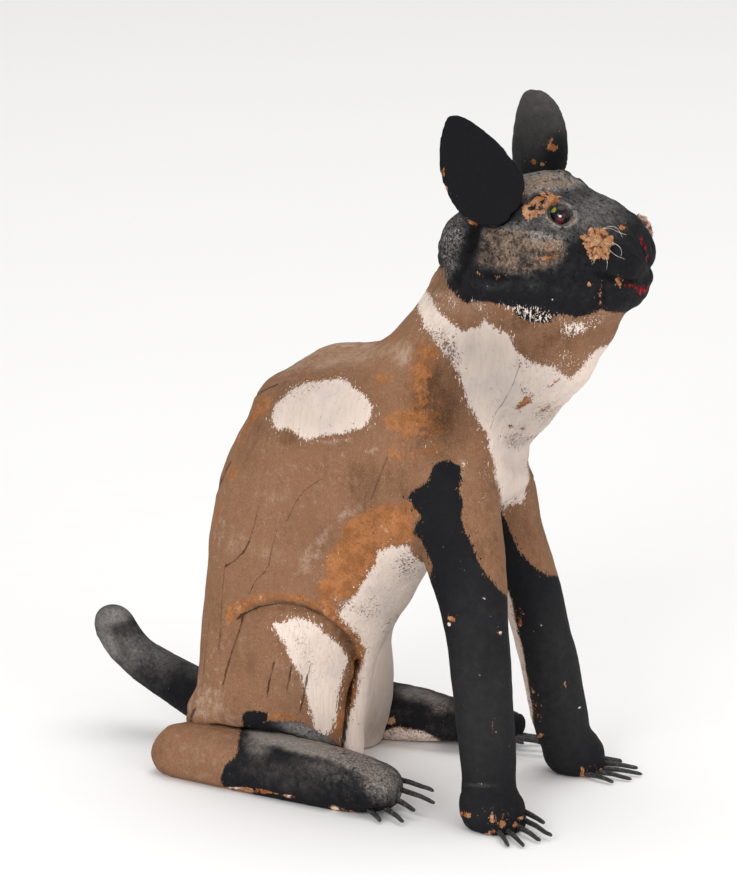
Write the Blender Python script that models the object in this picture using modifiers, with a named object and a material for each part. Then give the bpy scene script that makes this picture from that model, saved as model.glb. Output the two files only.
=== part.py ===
"""Carved and painted wooden cat, seated, with inserted ears, tail, hind feet, glass eyes and claws.

The cat faces +X, its left side is +Y and it stands on the plane z = 0. The origin is on the flat
underside of the trunk. Free forms are given in hundredths of CROWN_HEIGHT, fitted pieces in metres.
"""
import math

import bmesh
import bpy
import numpy as np
from mathutils import Vector

# Driving sizes in metres
CROWN_HEIGHT = 0.500        # ground to the crown of the head, the scale of the carved forms
GAP = 0.0003                # clearance between a fitted piece and its socket
EYE_DIAMETER = 0.016        # glass marble
EYE_BURIED = 0.72           # share of the marble's diameter that is inside the head
EAR_THICKNESS = 0.013
EAR_DISH = 0.007            # hollow of the ear's outer face
TAIL_SOCKET = 0.010         # how far the tail runs into the rump
CLAW_DIAMETER = 0.0046
CLAW_LENGTH = 0.034         # the part of the longest claw that shows
CLAW_DROOP = 0.004          # how far a claw's tip hangs below its root
CLAW_SOCKET = 0.009
PAD_DIAMETER = 0.021        # whisker pad
PAD_THICKNESS = 0.008
GROOVE_WIDTH = 0.005        # gouged line
GROOVE_DEPTH = 0.0035
CRACK_WIDTH = 0.004
CARVING_REACH = 0.020       # how far off the skin a carved line may lie
MOUTH_WIDTH = 0.003
MOUTH_DEPTH = 0.004
NOSTRIL_WIDTH = 0.004
WRIST_WIDTH = 0.005
WRIST_DEPTH = 0.0010
SOCKET_RADIUS = 0.0115      # hollow round the eye
SOCKET_WIDTH = 0.004
SOCKET_DEPTH = 0.0022

# Meshing
UNIT = CROWN_HEIGHT / 100.0
RING_POINTS = 40
FOOT_POINTS = 16
TAIL_POINTS = 16
EAR_POINTS = 16
CLAW_POINTS = 6
VOXEL = 0.0042
BODY_FACES = 3990
SIDES = {"right": -1.0, "left": 1.0}

# Trunk and neck: back x, z and front x, z on the middle plane, half width, squareness behind and in front
TRUNK = (
    (-4.6, -4.0, 12.0, -4.0, 16.6, 2.6, 3.0),
    (-5.4, 0.0, 13.2, 0.0, 17.4, 2.6, 3.0),
    (-5.8, 5.0, 16.4, 5.0, 18.0, 2.7, 3.2),
    (-5.2, 10.0, 18.0, 10.0, 18.2, 2.8, 3.2),
    (-4.4, 19.0, 20.2, 19.0, 18.2, 2.8, 3.4),
    (-3.6, 29.0, 24.0, 28.0, 18.0, 2.8, 3.8),
    (-3.2, 38.0, 29.6, 35.4, 17.8, 2.7, 4.2),
    (-1.6, 49.0, 39.0, 42.2, 17.8, 2.6, 4.2),
    (2.4, 58.4, 48.6, 49.4, 17.4, 2.4, 3.2),
    (8.0, 65.4, 50.4, 57.0, 17.0, 2.3, 2.6),
    (16.0, 69.2, 53.4, 62.6, 16.2, 2.2, 2.3),
    (23.6, 70.8, 57.4, 66.8, 15.0, 2.1, 2.1),
    (29.0, 75.2, 61.4, 70.8, 13.6, 2.1, 2.1),
    (33.0, 80.6, 65.2, 75.6, 12.4, 2.0, 2.0),
    (37.0, 88.0, 66.6, 80.0, 11.4, 2.0, 2.0),
)

# Head, before it is turned: top x, z and bottom x, z on its middle plane, half width, squareness
HEAD = (
    (36.9, 90.6, 37.2, 85.0, 5.6, 2.1),
    (39.4, 94.2, 41.0, 81.6, 9.3, 2.2),
    (43.2, 97.4, 45.6, 79.6, 11.6, 2.3),
    (49.0, 100.2, 51.4, 78.4, 12.6, 2.4),
    (55.0, 101.0, 58.0, 78.2, 12.2, 2.4),
    (59.6, 98.2, 62.4, 78.4, 11.0, 2.4),
    (64.2, 95.6, 66.0, 79.2, 9.6, 2.4),
    (67.8, 93.4, 68.4, 80.9, 8.2, 2.5),
    (69.8, 91.2, 69.8, 84.0, 6.4, 2.5),
    (70.6, 89.2, 70.4, 86.4, 3.0, 2.2),
)
HEAD_PIVOT = 52.0           # x of the upright axis that the head is turned about
HEAD_TURN = 8.0             # degrees to the cat's left

# Forelegs: x, distance from the middle plane, z, half depth, half width
FORELEG = {
    "right": (
        (35.0, 8.6, 62.0, 8.6, 6.4),
        (40.4, 10.2, 54.0, 8.6, 7.0),
        (44.8, 11.9, 45.0, 7.2, 6.3),
        (47.9, 13.1, 36.0, 5.6, 5.4),
        (49.8, 14.0, 27.0, 5.0, 5.0),
        (51.1, 14.7, 18.0, 4.7, 4.7),
        (52.2, 15.3, 10.0, 4.6, 4.6),
        (52.6, 15.8, 5.0, 4.6, 4.6),
    ),
    "left": (
        (34.0, 8.0, 62.0, 8.4, 7.0),
        (37.6, 9.4, 52.0, 7.4, 6.6),
        (41.6, 10.4, 42.0, 5.6, 5.6),
        (44.6, 11.2, 33.0, 4.9, 4.9),
        (47.3, 12.2, 22.0, 4.8, 4.9),
        (49.2, 13.2, 12.0, 4.7, 4.8),
        (50.4, 14.0, 5.0, 4.5, 4.5),
    ),
}

# Forepaws: middle x, distance from the middle plane, heading outwards in degrees, half length, half width
WRIST_HEIGHT = 6.9
FOREPAW = {
    "right": (54.8, 18.5, 14.0, 5.8, 5.2),
    "left": (51.7, 14.8, 10.0, 5.1, 4.9),
}
# Forepaw, upwards: z, share of its length and width, forward shift as a share of its length
PAW_SHAPE = (
    (-3.0, 0.56, 0.24),
    (0.0, 0.84, 0.14),
    (2.4, 1.00, 0.00),
    (4.6, 0.92, -0.02),
    (6.0, 0.76, -0.12),
    (7.0, 0.50, -0.20),
)

# Thigh: middle x, distance from the middle plane, z and the three half sizes
THIGH = (8.4, 10.4, 11.0, 11.6, 8.4, 17.6)
POLE = 0.48                 # last section of the haunch, in half turns from its waist

# Edge between the right side's flat face and the belly: x, distance from the middle plane, z, turn of the
# face inwards in degrees, and the half length and half width of the squarish column that carries it
SIDE_EDGE = (
    (23.4, 5.6, -3.0, 47.0, 7.4, 6.4),
    (23.8, 5.4, 5.9, 47.0, 7.4, 6.4),
    (24.4, 5.2, 10.8, 47.0, 7.6, 6.4),
    (25.0, 5.0, 15.4, 47.0, 7.6, 6.4),
    (26.2, 5.0, 19.8, 47.0, 7.7, 6.4),
    (29.0, 5.4, 25.4, 46.0, 8.2, 6.4),
    (32.3, 6.2, 30.4, 44.0, 8.4, 6.2),
    (35.6, 8.4, 34.7, 36.0, 7.8, 5.8),
    (39.0, 11.2, 38.8, 25.0, 6.8, 5.0),
    (41.5, 13.5, 43.5, 18.0, 5.6, 4.4),
)
EDGE_SQUARENESS = 4.0

# Gouged lines over the thighs: x, distance from the middle plane, z
THIGH_LINE = {
    "right": (
        (3.4, 17.6, 20.6),
        (5.6, 17.6, 24.6),
        (8.1, 17.5, 26.8),
        (12.3, 17.5, 28.8),
        (17.1, 16.9, 30.3),
        (19.8, 16.5, 30.1),
        (21.4, 14.6, 28.8),
        (22.7, 12.3, 26.9),
        (23.6, 10.4, 24.7),
        (24.1, 8.8, 22.0),
        (24.2, 7.5, 19.5),
    ),
    "left": (
        (3.4, 17.6, 20.6),
        (5.6, 17.6, 24.6),
        (8.1, 17.5, 26.8),
        (12.3, 17.5, 28.8),
        (17.1, 16.9, 30.3),
        (21.0, 14.8, 29.5),
        (23.2, 9.4, 25.3),
    ),
}
# Drying cracks that run down from the thigh lines: the right one follows the thigh's edge
CRACK = {
    "right": (
        (24.2, 7.5, 19.5),
        (23.6, 7.1, 16.6),
        (22.7, 7.8, 12.5),
        (22.3, 8.0, 9.0),
        (21.9, 8.2, 5.2),
        (21.7, 8.3, 0.0),
    ),
    "left": (
        (23.2, 9.4, 25.3),
        (21.0, 7.4, 15.6),
        (19.4, 7.0, 11.0),
        (18.4, 6.9, 5.0),
        (17.4, 6.8, 0.0),
    ),
}
# Keel of the belly, a ridge just left of the middle plane: x, y, z
KEEL = (
    (30.0, 2.2, 35.0),
    (24.0, 2.2, 27.0),
    (21.2, 2.2, 20.0),
    (19.2, 2.2, 11.0),
    (17.4, 2.2, 4.0),
)
KEEL_WIDTH = 0.011
KEEL_HEIGHT = 0.006

# Head, before it is turned: x, distance from its middle plane, z
MOUTH = ((65.6, 9.2, 87.6), (68.2, 7.6, 86.6), (70.0, 4.0, 85.8), (70.8, 0.0, 85.4))
NOSTRIL = ((70.6, 3.4, 91.6), (70.9, 3.2, 90.0))

# Hind feet: x, distance from the middle plane, half height, half width
HIND_FOOT = {
    "right": (
        (-7.3, 17.2, 1.6, 1.2),
        (-6.2, 17.2, 3.3, 3.2),
        (-3.0, 17.4, 4.7, 4.9),
        (4.0, 17.6, 5.1, 5.6),
        (14.0, 18.2, 5.3, 5.8),
        (24.0, 19.0, 5.0, 5.8),
        (31.0, 19.6, 4.4, 5.8),
        (35.6, 19.9, 3.4, 5.4),
        (38.2, 20.0, 2.3, 4.2),
        (39.0, 20.0, 1.2, 2.2),
    ),
    "left": (
        (-7.3, 17.2, 1.6, 1.2),
        (-6.2, 17.2, 3.3, 3.2),
        (-3.0, 17.4, 4.7, 4.9),
        (4.0, 17.6, 5.1, 5.6),
        (13.0, 18.2, 5.0, 5.8),
        (20.0, 18.8, 4.2, 5.8),
        (27.0, 19.4, 3.1, 5.7),
        (33.0, 19.8, 2.8, 5.4),
        (37.6, 20.0, 2.2, 4.2),
        (38.6, 20.0, 1.2, 2.2),
    ),
}
HIND_FOOT_MIDDLE = 3.6      # height of the foot's thickest level
HIND_HEADING = 5.0          # degrees that the toes point outwards
TOE_ROW = 6                 # row of the hind foot that the toes spread from

# Tail: x, z, radius
TAIL = (
    (-6.4, 5.6, 4.2),
    (-12.2, 8.0, 4.1),
    (-18.0, 10.4, 3.6),
    (-22.7, 12.7, 3.5),
    (-25.8, 15.4, 3.6),
    (-26.9, 17.8, 3.4),
    (-26.9, 19.4, 2.6),
    (-26.8, 20.2, 1.2),
)

# Ears, before the head is turned: centre line x, z from the foot to the tip, and the half width there
EAR = {
    "right": (
        (49.0, 94.6, 1.4),
        (48.6, 95.8, 3.8),
        (48.0, 98.8, 5.6),
        (47.3, 102.6, 5.9),
        (46.2, 106.4, 5.0),
        (44.8, 109.6, 3.1),
        (43.7, 111.2, 1.5),
        (43.4, 111.6, 0.6),
    ),
    "left": (
        (47.5, 95.2, 1.6),
        (47.6, 96.8, 3.8),
        (47.7, 100.0, 5.3),
        (47.9, 103.6, 5.4),
        (47.9, 107.0, 4.8),
        (47.5, 109.6, 3.6),
        (47.1, 111.0, 2.3),
        (46.9, 111.5, 1.0),
    ),
}
EAR_SPREAD = 12.8           # distance of the ears from the head's middle plane
EAR_TURN = 15.0             # degrees that the ears are turned forwards

EYE_PLACE = {"right": (58.8, 8.0, 96.3), "left": (59.4, 9.4, 94.0)}
EYE_FACING = (0.25, 0.82, 0.52)
PAD_PLACE = (65.4, 8.3, 92.4)
PAD_FACING = (0.45, 0.86, 0.25)

# Claws, from the inside outwards: place round the toes and way, both in degrees from the heading,
# share of the full length, height of the root
CLAWS = {
    ("fore", "right"): (
        (-50.0, 10.0, 0.66, 2.2),
        (-28.0, 13.0, 1.00, 1.5),
        (-2.0, 15.0, 0.86, 1.1),
        (22.0, 27.0, 1.00, 0.8),
        (38.0, 34.0, 0.86, 0.7),
    ),
    ("fore", "left"): (
        (-46.0, -22.0, 0.78, 0.7),
        (-22.0, -10.0, 0.90, 0.7),
        (2.0, 0.0, 0.94, 0.8),
        (26.0, 8.0, 0.80, 1.1),
        (50.0, 22.0, 0.50, 1.3),
    ),
    ("hind", "right"): (
        (-50.0, 2.0, 1.00, 4.2),
        (-24.0, 9.0, 1.00, 3.3),
        (0.0, 18.0, 0.62, 2.3),
        (24.0, 26.0, 0.80, 1.4),
        (44.0, 34.0, 0.50, 1.0),
    ),
    ("hind", "left"): (
        (-46.0, 0.0, 0.90, 3.2),
        (-20.0, 8.0, 1.00, 2.6),
        (4.0, 16.0, 0.74, 2.1),
        (28.0, 24.0, 0.84, 1.6),
        (50.0, 34.0, 0.56, 1.2),
    ),
}

COLOURS = {
    "brown_paint": ((0.30, 0.18, 0.11, 1.0), 0.85, 0.0),
    "black_paint": ((0.035, 0.036, 0.040, 1.0), 0.80, 0.0),
    "glass": ((0.02, 0.03, 0.02, 1.0), 0.06, 0.0),
    "claw_black": ((0.02, 0.02, 0.02, 1.0), 0.55, 0.0),
    "gum": ((0.45, 0.24, 0.12, 1.0), 0.90, 0.0),
}


# Curves and sections

def smooth_rows(rows, steps):
    """Catmull-Rom curve through rows of numbers, with the given number of steps per stretch."""
    rows = np.asarray(rows, float)
    padded = np.vstack([2 * rows[0] - rows[1], rows, 2 * rows[-1] - rows[-2]])
    t = (np.arange(steps) / steps)[:, None]
    parts = []
    for a, b, c, d in zip(padded, padded[1:], padded[2:], padded[3:]):
        parts.append(0.5 * (2 * b + (c - a) * t + (2 * a - 5 * b + 4 * c - d) * t**2
                            + (3 * b - a - 3 * c + d) * t**3))
    return np.vstack(parts + [rows[-1:]])


def ring(middle, along_u, along_v, squareness=2.0, squareness_behind=None, points=RING_POINTS):
    """Superellipse round a middle point, with two half axes given as vectors.

    The half that lies against the first axis may have a squareness of its own."""
    angle = np.arange(points) * 2 * math.pi / points
    c, s = np.cos(angle), np.sin(angle)
    power = 2.0 / np.where(c < 0, squareness_behind or squareness, squareness)
    u = np.sign(c) * np.abs(c) ** power
    v = np.sign(s) * np.abs(s) ** power
    return np.asarray(middle) + u[:, None] * np.asarray(along_u) + v[:, None] * np.asarray(along_v)


def tube_mesh(name, rings):
    """Closed skin through rings of equally many points, with a flat fan at both ends."""
    count = len(rings[0])
    vertices = np.vstack(rings + [rings[0].mean(0)[None], rings[-1].mean(0)[None]])
    faces = []
    for row in range(len(rings) - 1):
        for k in range(count):
            a, b = row * count + k, row * count + (k + 1) % count
            faces.append((a, b, b + count, a + count))
    first, last = len(rings) * count, len(rings) * count + 1
    top = (len(rings) - 1) * count
    for k in range(count):
        following = (k + 1) % count
        faces.append((first, following, k))
        faces.append((last, top + k, top + following))
    mesh = bpy.data.meshes.new(name)
    mesh.from_pydata(vertices.tolist(), [], faces)
    point_outwards(mesh)
    return mesh


def point_outwards(mesh):
    """Turn all faces of a closed mesh outwards."""
    work = bmesh.new()
    work.from_mesh(mesh)
    bmesh.ops.recalc_face_normals(work, faces=work.faces)
    work.to_mesh(mesh)
    work.free()


def joined(name, meshes):
    """One mesh that holds several closed skins."""
    work = bmesh.new()
    for mesh in meshes:
        work.from_mesh(mesh)
        bpy.data.meshes.remove(mesh)
    result = bpy.data.meshes.new(name)
    work.to_mesh(result)
    work.free()
    return result


# Carved forms, each a skin in metres

def trunk_skin():
    """Trunk and neck: slanted sections from the back edge to the front edge of each row."""
    rings = []
    for back_x, back_z, front_x, front_z, half, behind, before in smooth_rows(TRUNK, 3):
        middle = ((back_x + front_x) / 2, 0.0, (back_z + front_z) / 2)
        reach = ((front_x - back_x) / 2, 0.0, (front_z - back_z) / 2)
        rings.append(ring(middle, reach, (0.0, half, 0.0), before, behind) * UNIT)
    return tube_mesh("trunk", rings)


def turned(points):
    """Points of the head after it is turned about its upright axis."""
    angle = math.radians(HEAD_TURN)
    c, s = math.cos(angle), math.sin(angle)
    away = points - np.array([HEAD_PIVOT * UNIT, 0.0, 0.0])
    turn = np.array([[c, -s, 0.0], [s, c, 0.0], [0.0, 0.0, 1.0]])
    return away @ turn.T + np.array([HEAD_PIVOT * UNIT, 0.0, 0.0])


def head_skin():
    """Head: sections from its top edge to its bottom edge, turned to the cat's left."""
    rings = []
    for top_x, top_z, low_x, low_z, half, square in smooth_rows(HEAD, 3):
        middle = ((top_x + low_x) / 2, 0.0, (top_z + low_z) / 2)
        rise = ((top_x - low_x) / 2, 0.0, (top_z - low_z) / 2)
        rings.append(turned(ring(middle, rise, (0.0, half, 0.0), square) * UNIT))
    return tube_mesh("head", rings)


def foreleg_skin(side):
    """Foreleg from the shoulder to the wrist, in level sections."""
    rings = []
    for x, out, z, deep, wide in smooth_rows(FORELEG[side], 3):
        rings.append(ring((x, out * SIDES[side], z), (deep, 0, 0), (0, wide, 0), 2.2) * UNIT)
    return tube_mesh("foreleg", rings)


def heading_vectors(side, degrees):
    """Unit vectors along and across a heading that turns outwards from +X."""
    angle = math.radians(degrees) * SIDES[side]
    return np.array([math.cos(angle), math.sin(angle), 0.0]), np.array([-math.sin(angle), math.cos(angle), 0.0])


def forepaw_skin(side):
    """Forepaw: level sections that swell over the ground and close at the wrist."""
    x, out, heading, length, width = FOREPAW[side]
    along, across = heading_vectors(side, heading)
    rings = []
    for z, share, shift in smooth_rows(PAW_SHAPE, 3):
        middle = np.array([x, out * SIDES[side], z]) + along * length * shift
        rings.append(ring(middle, along * length * share, across * width * share, 2.3) * UNIT)
    return tube_mesh("forepaw", rings)


def thigh_skin(side):
    """Haunch: an upright ellipsoid that fills out the trunk's foot."""
    x, out, z, length, width, height = THIGH
    rings = []
    for turn in np.linspace(-POLE, POLE, 17) * math.pi:
        share, rise = math.cos(turn), math.sin(turn)
        middle = (x, out * SIDES[side], z + height * rise)
        rings.append(ring(middle, (length * share, 0, 0), (0, width * share, 0)) * UNIT)
    return tube_mesh("thigh", rings)


def side_edge_skin():
    """Column of level squarish sections, each turned so that its outer front corner lies on the edge."""
    to_corner = 0.5 ** (1.0 / EDGE_SQUARENESS)
    rings = []
    for x, out, z, turn_in, length, width in smooth_rows(SIDE_EDGE, 2):
        along, across = heading_vectors("right", -turn_in)
        corner = np.array([x, out * SIDES["right"], z])
        middle = corner - to_corner * (along * length - across * width)
        rings.append(ring(middle, along * length, across * width, EDGE_SQUARENESS) * UNIT)
    return tube_mesh("side_edge", rings)


def hind_foot_skin(side, grow=0.0):
    """Hind foot: upright sections from the heel to the toes; its foot ends below the ground."""
    rings = []
    rows = smooth_rows(HIND_FOOT[side], 2)
    for x, out, high, wide in rows:
        high, wide = high * UNIT + grow, wide * UNIT + grow
        middle = np.array([x * UNIT, out * UNIT * SIDES[side], HIND_FOOT_MIDDLE * UNIT])
        rings.append(ring(middle, (0, 0, high), (0, wide, 0), 2.4, points=FOOT_POINTS))
    rings[0][:, 0] -= grow
    rings[-1][:, 0] += grow
    return tube_mesh("hind_foot", rings)


def tail_skin(grow=0.0):
    """Tail: round sections square to its line, with a straight stretch let into the rump."""
    rows = smooth_rows(TAIL, 2) * UNIT
    path = rows[:, :2]
    heading = np.gradient(path, axis=0)
    heading /= np.linalg.norm(heading, axis=1)[:, None]
    start = np.array([path[0] - heading[0] * TAIL_SOCKET])
    path = np.vstack([start - heading[:1] * grow, path])
    heading = np.vstack([heading[:1], heading])
    radii = np.concatenate([rows[:1, 2], rows[:, 2]]) + grow
    rings = []
    for (x, z), (dx, dz), radius in zip(path, heading, radii):
        rings.append(ring((x, 0, z), (-dz * radius, 0, dx * radius), (0, radius, 0), points=TAIL_POINTS))
    return tube_mesh("tail", rings)


def ear_skin(side, grow=0.0):
    """Leaf-shaped plate, hollow on its outer face: an ellipse bent across the ear's width."""
    turn = math.radians(EAR_TURN) * SIDES[side]
    wide_way = np.array([math.cos(turn), -math.sin(turn), 0.0])
    out_way = np.array([math.sin(turn) * SIDES[side], math.cos(turn) * SIDES[side], 0.0])
    rows = smooth_rows(EAR[side], 2) * UNIT
    centre_x = rows[len(rows) // 2, 0]
    widest = rows[:, 2].max()
    angle = np.arange(EAR_POINTS) * 2 * math.pi / EAR_POINTS
    rings = []
    for x, z, half in rows:
        share = half / widest
        thick = EAR_THICKNESS / 2 * math.sqrt(share) + grow
        across = (half + grow) * np.cos(angle)
        bend = EAR_DISH * share * (1 - np.cos(angle) ** 2)
        through = thick * np.sin(angle) - bend
        middle = np.array([centre_x, EAR_SPREAD * UNIT * SIDES[side], z])
        points_here = middle + (across + x - centre_x)[:, None] * wide_way + through[:, None] * out_way
        rings.append(turned(points_here))
    rings[0][:, 2] -= grow
    return tube_mesh("ear", rings)


def placed(place, side):
    """A place on the head, given for the left side."""
    return turned(np.array([place[0], place[1] * SIDES[side], place[2]]) * UNIT)


def facing_vector(facing, side):
    """A direction on the head as a unit vector, given for the left side."""
    vector = np.array([facing[0], facing[1] * SIDES[side], facing[2]])
    vector /= np.linalg.norm(vector)
    return turned(vector) - turned(np.zeros(3))


def ball_mesh(name, centre, radius, flat_along=None, flatness=1.0, segments=12, rings=8):
    """Sphere, or a cushion flattened along a direction."""
    work = bmesh.new()
    bmesh.ops.create_uvsphere(work, u_segments=segments, v_segments=rings, radius=radius)
    if flat_along is not None:
        turn = Vector(flat_along).to_track_quat("Z", "Y").to_matrix()
        for vertex in work.verts:
            vertex.co.z *= flatness
            vertex.co = turn @ vertex.co
    bmesh.ops.translate(work, verts=work.verts, vec=Vector(centre))
    mesh = bpy.data.meshes.new(name)
    work.to_mesh(mesh)
    work.free()
    return mesh


def eye_skin(side, grow=0.0):
    """Marble, sunk into the head by its buried share."""
    inward = -facing_vector(EYE_FACING, side) * EYE_DIAMETER * (EYE_BURIED - 0.5)
    return ball_mesh("eye", placed(EYE_PLACE[side], side) + inward, EYE_DIAMETER / 2 + grow)


def pad_skin(side, grow=0.0):
    """Whisker pad: a cushion, half let into the cheek."""
    facing = facing_vector(PAD_FACING, side)
    radius = PAD_DIAMETER / 2 + grow
    flatness = (PAD_THICKNESS / 2 + grow) / radius
    return ball_mesh("pad", placed(PAD_PLACE, side), radius, facing, flatness, 12, 7)


def toe_line(foot, side):
    """Middle of the toes, heading, and the toes' half length and half width round that middle."""
    if foot == "fore":
        x, out, heading, length, width = FOREPAW[side]
    else:
        x, out, _, width = HIND_FOOT[side][TOE_ROW]
        heading, length = HIND_HEADING, HIND_FOOT[side][-1][0] - x
    return np.array([x, out * SIDES[side], 0.0]) * UNIT, heading, length * UNIT, width * UNIT


def claw_skin(foot, side, number, grow=0.0):
    """Tapered claw that runs out of the toes' edge and droops a little to its blunt tip."""
    middle, heading, length, width = toe_line(foot, side)
    place, way, share, height = CLAWS[foot, side][number]
    along, across = heading_vectors(side, heading)
    place = math.radians(place)
    root = middle + along * length * math.cos(place) + across * SIDES[side] * width * math.sin(place)
    root[2] = height * UNIT
    forwards, _ = heading_vectors(side, heading + way)
    sideways = np.cross(forwards, (0, 0, 1))
    droop = min(CLAW_DROOP, root[2] - CLAW_DIAMETER * 0.4)
    rings = []
    for t, thick in ((-1.0, 0.9), (0.0, 1.0), (0.6, 0.84), (1.0, 0.36)):
        reach = t * (CLAW_SOCKET + grow) if t < 0 else t * CLAW_LENGTH * share
        centre = root + forwards * reach - np.array([0, 0, droop * max(t, 0) ** 1.6])
        radius = CLAW_DIAMETER / 2 * thick + grow
        rings.append(ring(centre, sideways * radius, (0, 0, radius), points=CLAW_POINTS))
    return tube_mesh("claw", rings)


# Carving

def distance_along_skin(points, normals, line, reach):
    """Distance from each point to a polyline, measured along the skin.

    The part of the way that follows the skin's normal does not count, so a line may float a little
    over the skin or under it. Points further than the reach along their normal are left out."""
    best = np.full(len(points), np.inf)
    for a, b in zip(line, line[1:]):
        run = b - a
        t = np.clip(((points - a) @ run) / (run @ run), 0, 1)
        way = points - a - t[:, None] * run
        through = (way * normals).sum(1)
        flat = np.linalg.norm(way - through[:, None] * normals, axis=1)
        best = np.minimum(best, np.where(np.abs(through) < reach, flat, np.inf))
    return best


def on_head(line, side):
    """A line of the head, given for the left side, in metres."""
    return turned(smooth_rows(line, 4) * UNIT * np.array([1.0, SIDES[side], 1.0]))


def carve(mesh):
    """Gouge the thigh lines, mouth, nostrils, eye sockets and wrists, and raise the belly's keel."""
    count = len(mesh.vertices)
    where = np.empty(count * 3)
    mesh.vertices.foreach_get("co", where)
    where = where.reshape(-1, 3)
    normal = np.empty(count * 3)
    mesh.vertex_normals.foreach_get("vector", normal)
    normal = normal.reshape(-1, 3)
    depth = np.zeros(count)

    def gouge(line, width, amount, reach=CARVING_REACH):
        nonlocal depth
        away = distance_along_skin(where, normal, line, reach)
        depth = depth + amount * np.exp(-(away / width) ** 2)

    gouge(smooth_rows(KEEL, 3) * UNIT, KEEL_WIDTH, -KEEL_HEIGHT)
    for side, way in SIDES.items():
        mirrored = UNIT * np.array([1.0, way, 1.0])
        gouge(smooth_rows(THIGH_LINE[side], 4) * mirrored, GROOVE_WIDTH, GROOVE_DEPTH)
        gouge(smooth_rows(CRACK[side], 3) * mirrored, CRACK_WIDTH, GROOVE_DEPTH)
        gouge(on_head(MOUTH, side), MOUTH_WIDTH, MOUTH_DEPTH, EYE_DIAMETER)
        gouge(on_head(NOSTRIL, side), NOSTRIL_WIDTH, MOUTH_DEPTH, EYE_DIAMETER)
        x, out, heading, length, width = FOREPAW[side]
        wrist = np.array([x, out * way, WRIST_HEIGHT]) * UNIT
        away = where - wrist
        near = np.linalg.norm(away[:, :2], axis=1) < 2 * length * UNIT
        depth += near * WRIST_DEPTH * np.exp(-(away[:, 2] / WRIST_WIDTH) ** 2)
        eye_gap = np.linalg.norm(where - placed(EYE_PLACE[side], side), axis=1)
        depth += SOCKET_DEPTH * np.exp(-((eye_gap - SOCKET_RADIUS) / SOCKET_WIDTH) ** 2)

    where -= normal * depth[:, None]
    mesh.vertices.foreach_set("co", where.ravel())
    mesh.update()


# Scene

def clear_scene():
    for item in list(bpy.data.objects):
        bpy.data.objects.remove(item)


def collection(name):
    made = bpy.data.collections.new(name)
    bpy.context.scene.collection.children.link(made)
    return made


def material(name):
    colour, roughness, metallic = COLOURS[name]
    made = bpy.data.materials.new(name)
    made.use_nodes = True
    shader = made.node_tree.nodes["Principled BSDF"]
    shader.inputs["Base Color"].default_value = colour
    shader.inputs["Roughness"].default_value = roughness
    shader.inputs["Metallic"].default_value = metallic
    return made


def add_object(name, mesh, home, finish=None):
    item = bpy.data.objects.new(name, mesh)
    home.objects.link(item)
    if finish:
        mesh.materials.append(finish)
        mesh.shade_smooth()
        mesh.set_sharp_from_angle(angle=math.radians(50))
    return item


def add_cutter(name, mesh, home):
    item = add_object(name, mesh, home)
    item.hide_render = True
    item.display_type = "WIRE"
    return item


def cut(item, cutter):
    modifier = item.modifiers.new(cutter.name, "BOOLEAN")
    modifier.operation = "DIFFERENCE"
    modifier.solver = "EXACT"
    modifier.object = cutter
    return modifier


def evaluated_mesh(item):
    """Mesh of an object with its modifiers applied."""
    graph = bpy.context.evaluated_depsgraph_get()
    return bpy.data.meshes.new_from_object(item.evaluated_get(graph), depsgraph=graph)


def ground_cutter(home):
    """Block whose top is the ground, which makes the soles and the underside flat."""
    work = bmesh.new()
    bmesh.ops.create_cube(work, size=1.0)
    side = 4 * CROWN_HEIGHT
    for vertex in work.verts:
        vertex.co = Vector((vertex.co.x, vertex.co.y, vertex.co.z - 0.5)) * side
    mesh = bpy.data.meshes.new("ground")
    work.to_mesh(mesh)
    work.free()
    return add_cutter("ground_cut", mesh, home)


def body_mesh(home):
    """All the forms carved from one log, run together on a fine grid, smoothed and carved."""
    skins = [trunk_skin(), head_skin(), side_edge_skin()]
    for side in SIDES:
        skins += [foreleg_skin(side), forepaw_skin(side), thigh_skin(side)]
    rough = add_object("rough_body", joined("rough_body", skins), home)
    melt = rough.modifiers.new("melt", "REMESH")
    melt.mode = "VOXEL"
    melt.voxel_size = VOXEL
    ease = rough.modifiers.new("ease", "SMOOTH")
    ease.factor = 0.5
    ease.iterations = 8
    mesh = evaluated_mesh(rough)
    bpy.data.objects.remove(rough)
    carve(mesh)
    return mesh


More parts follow.
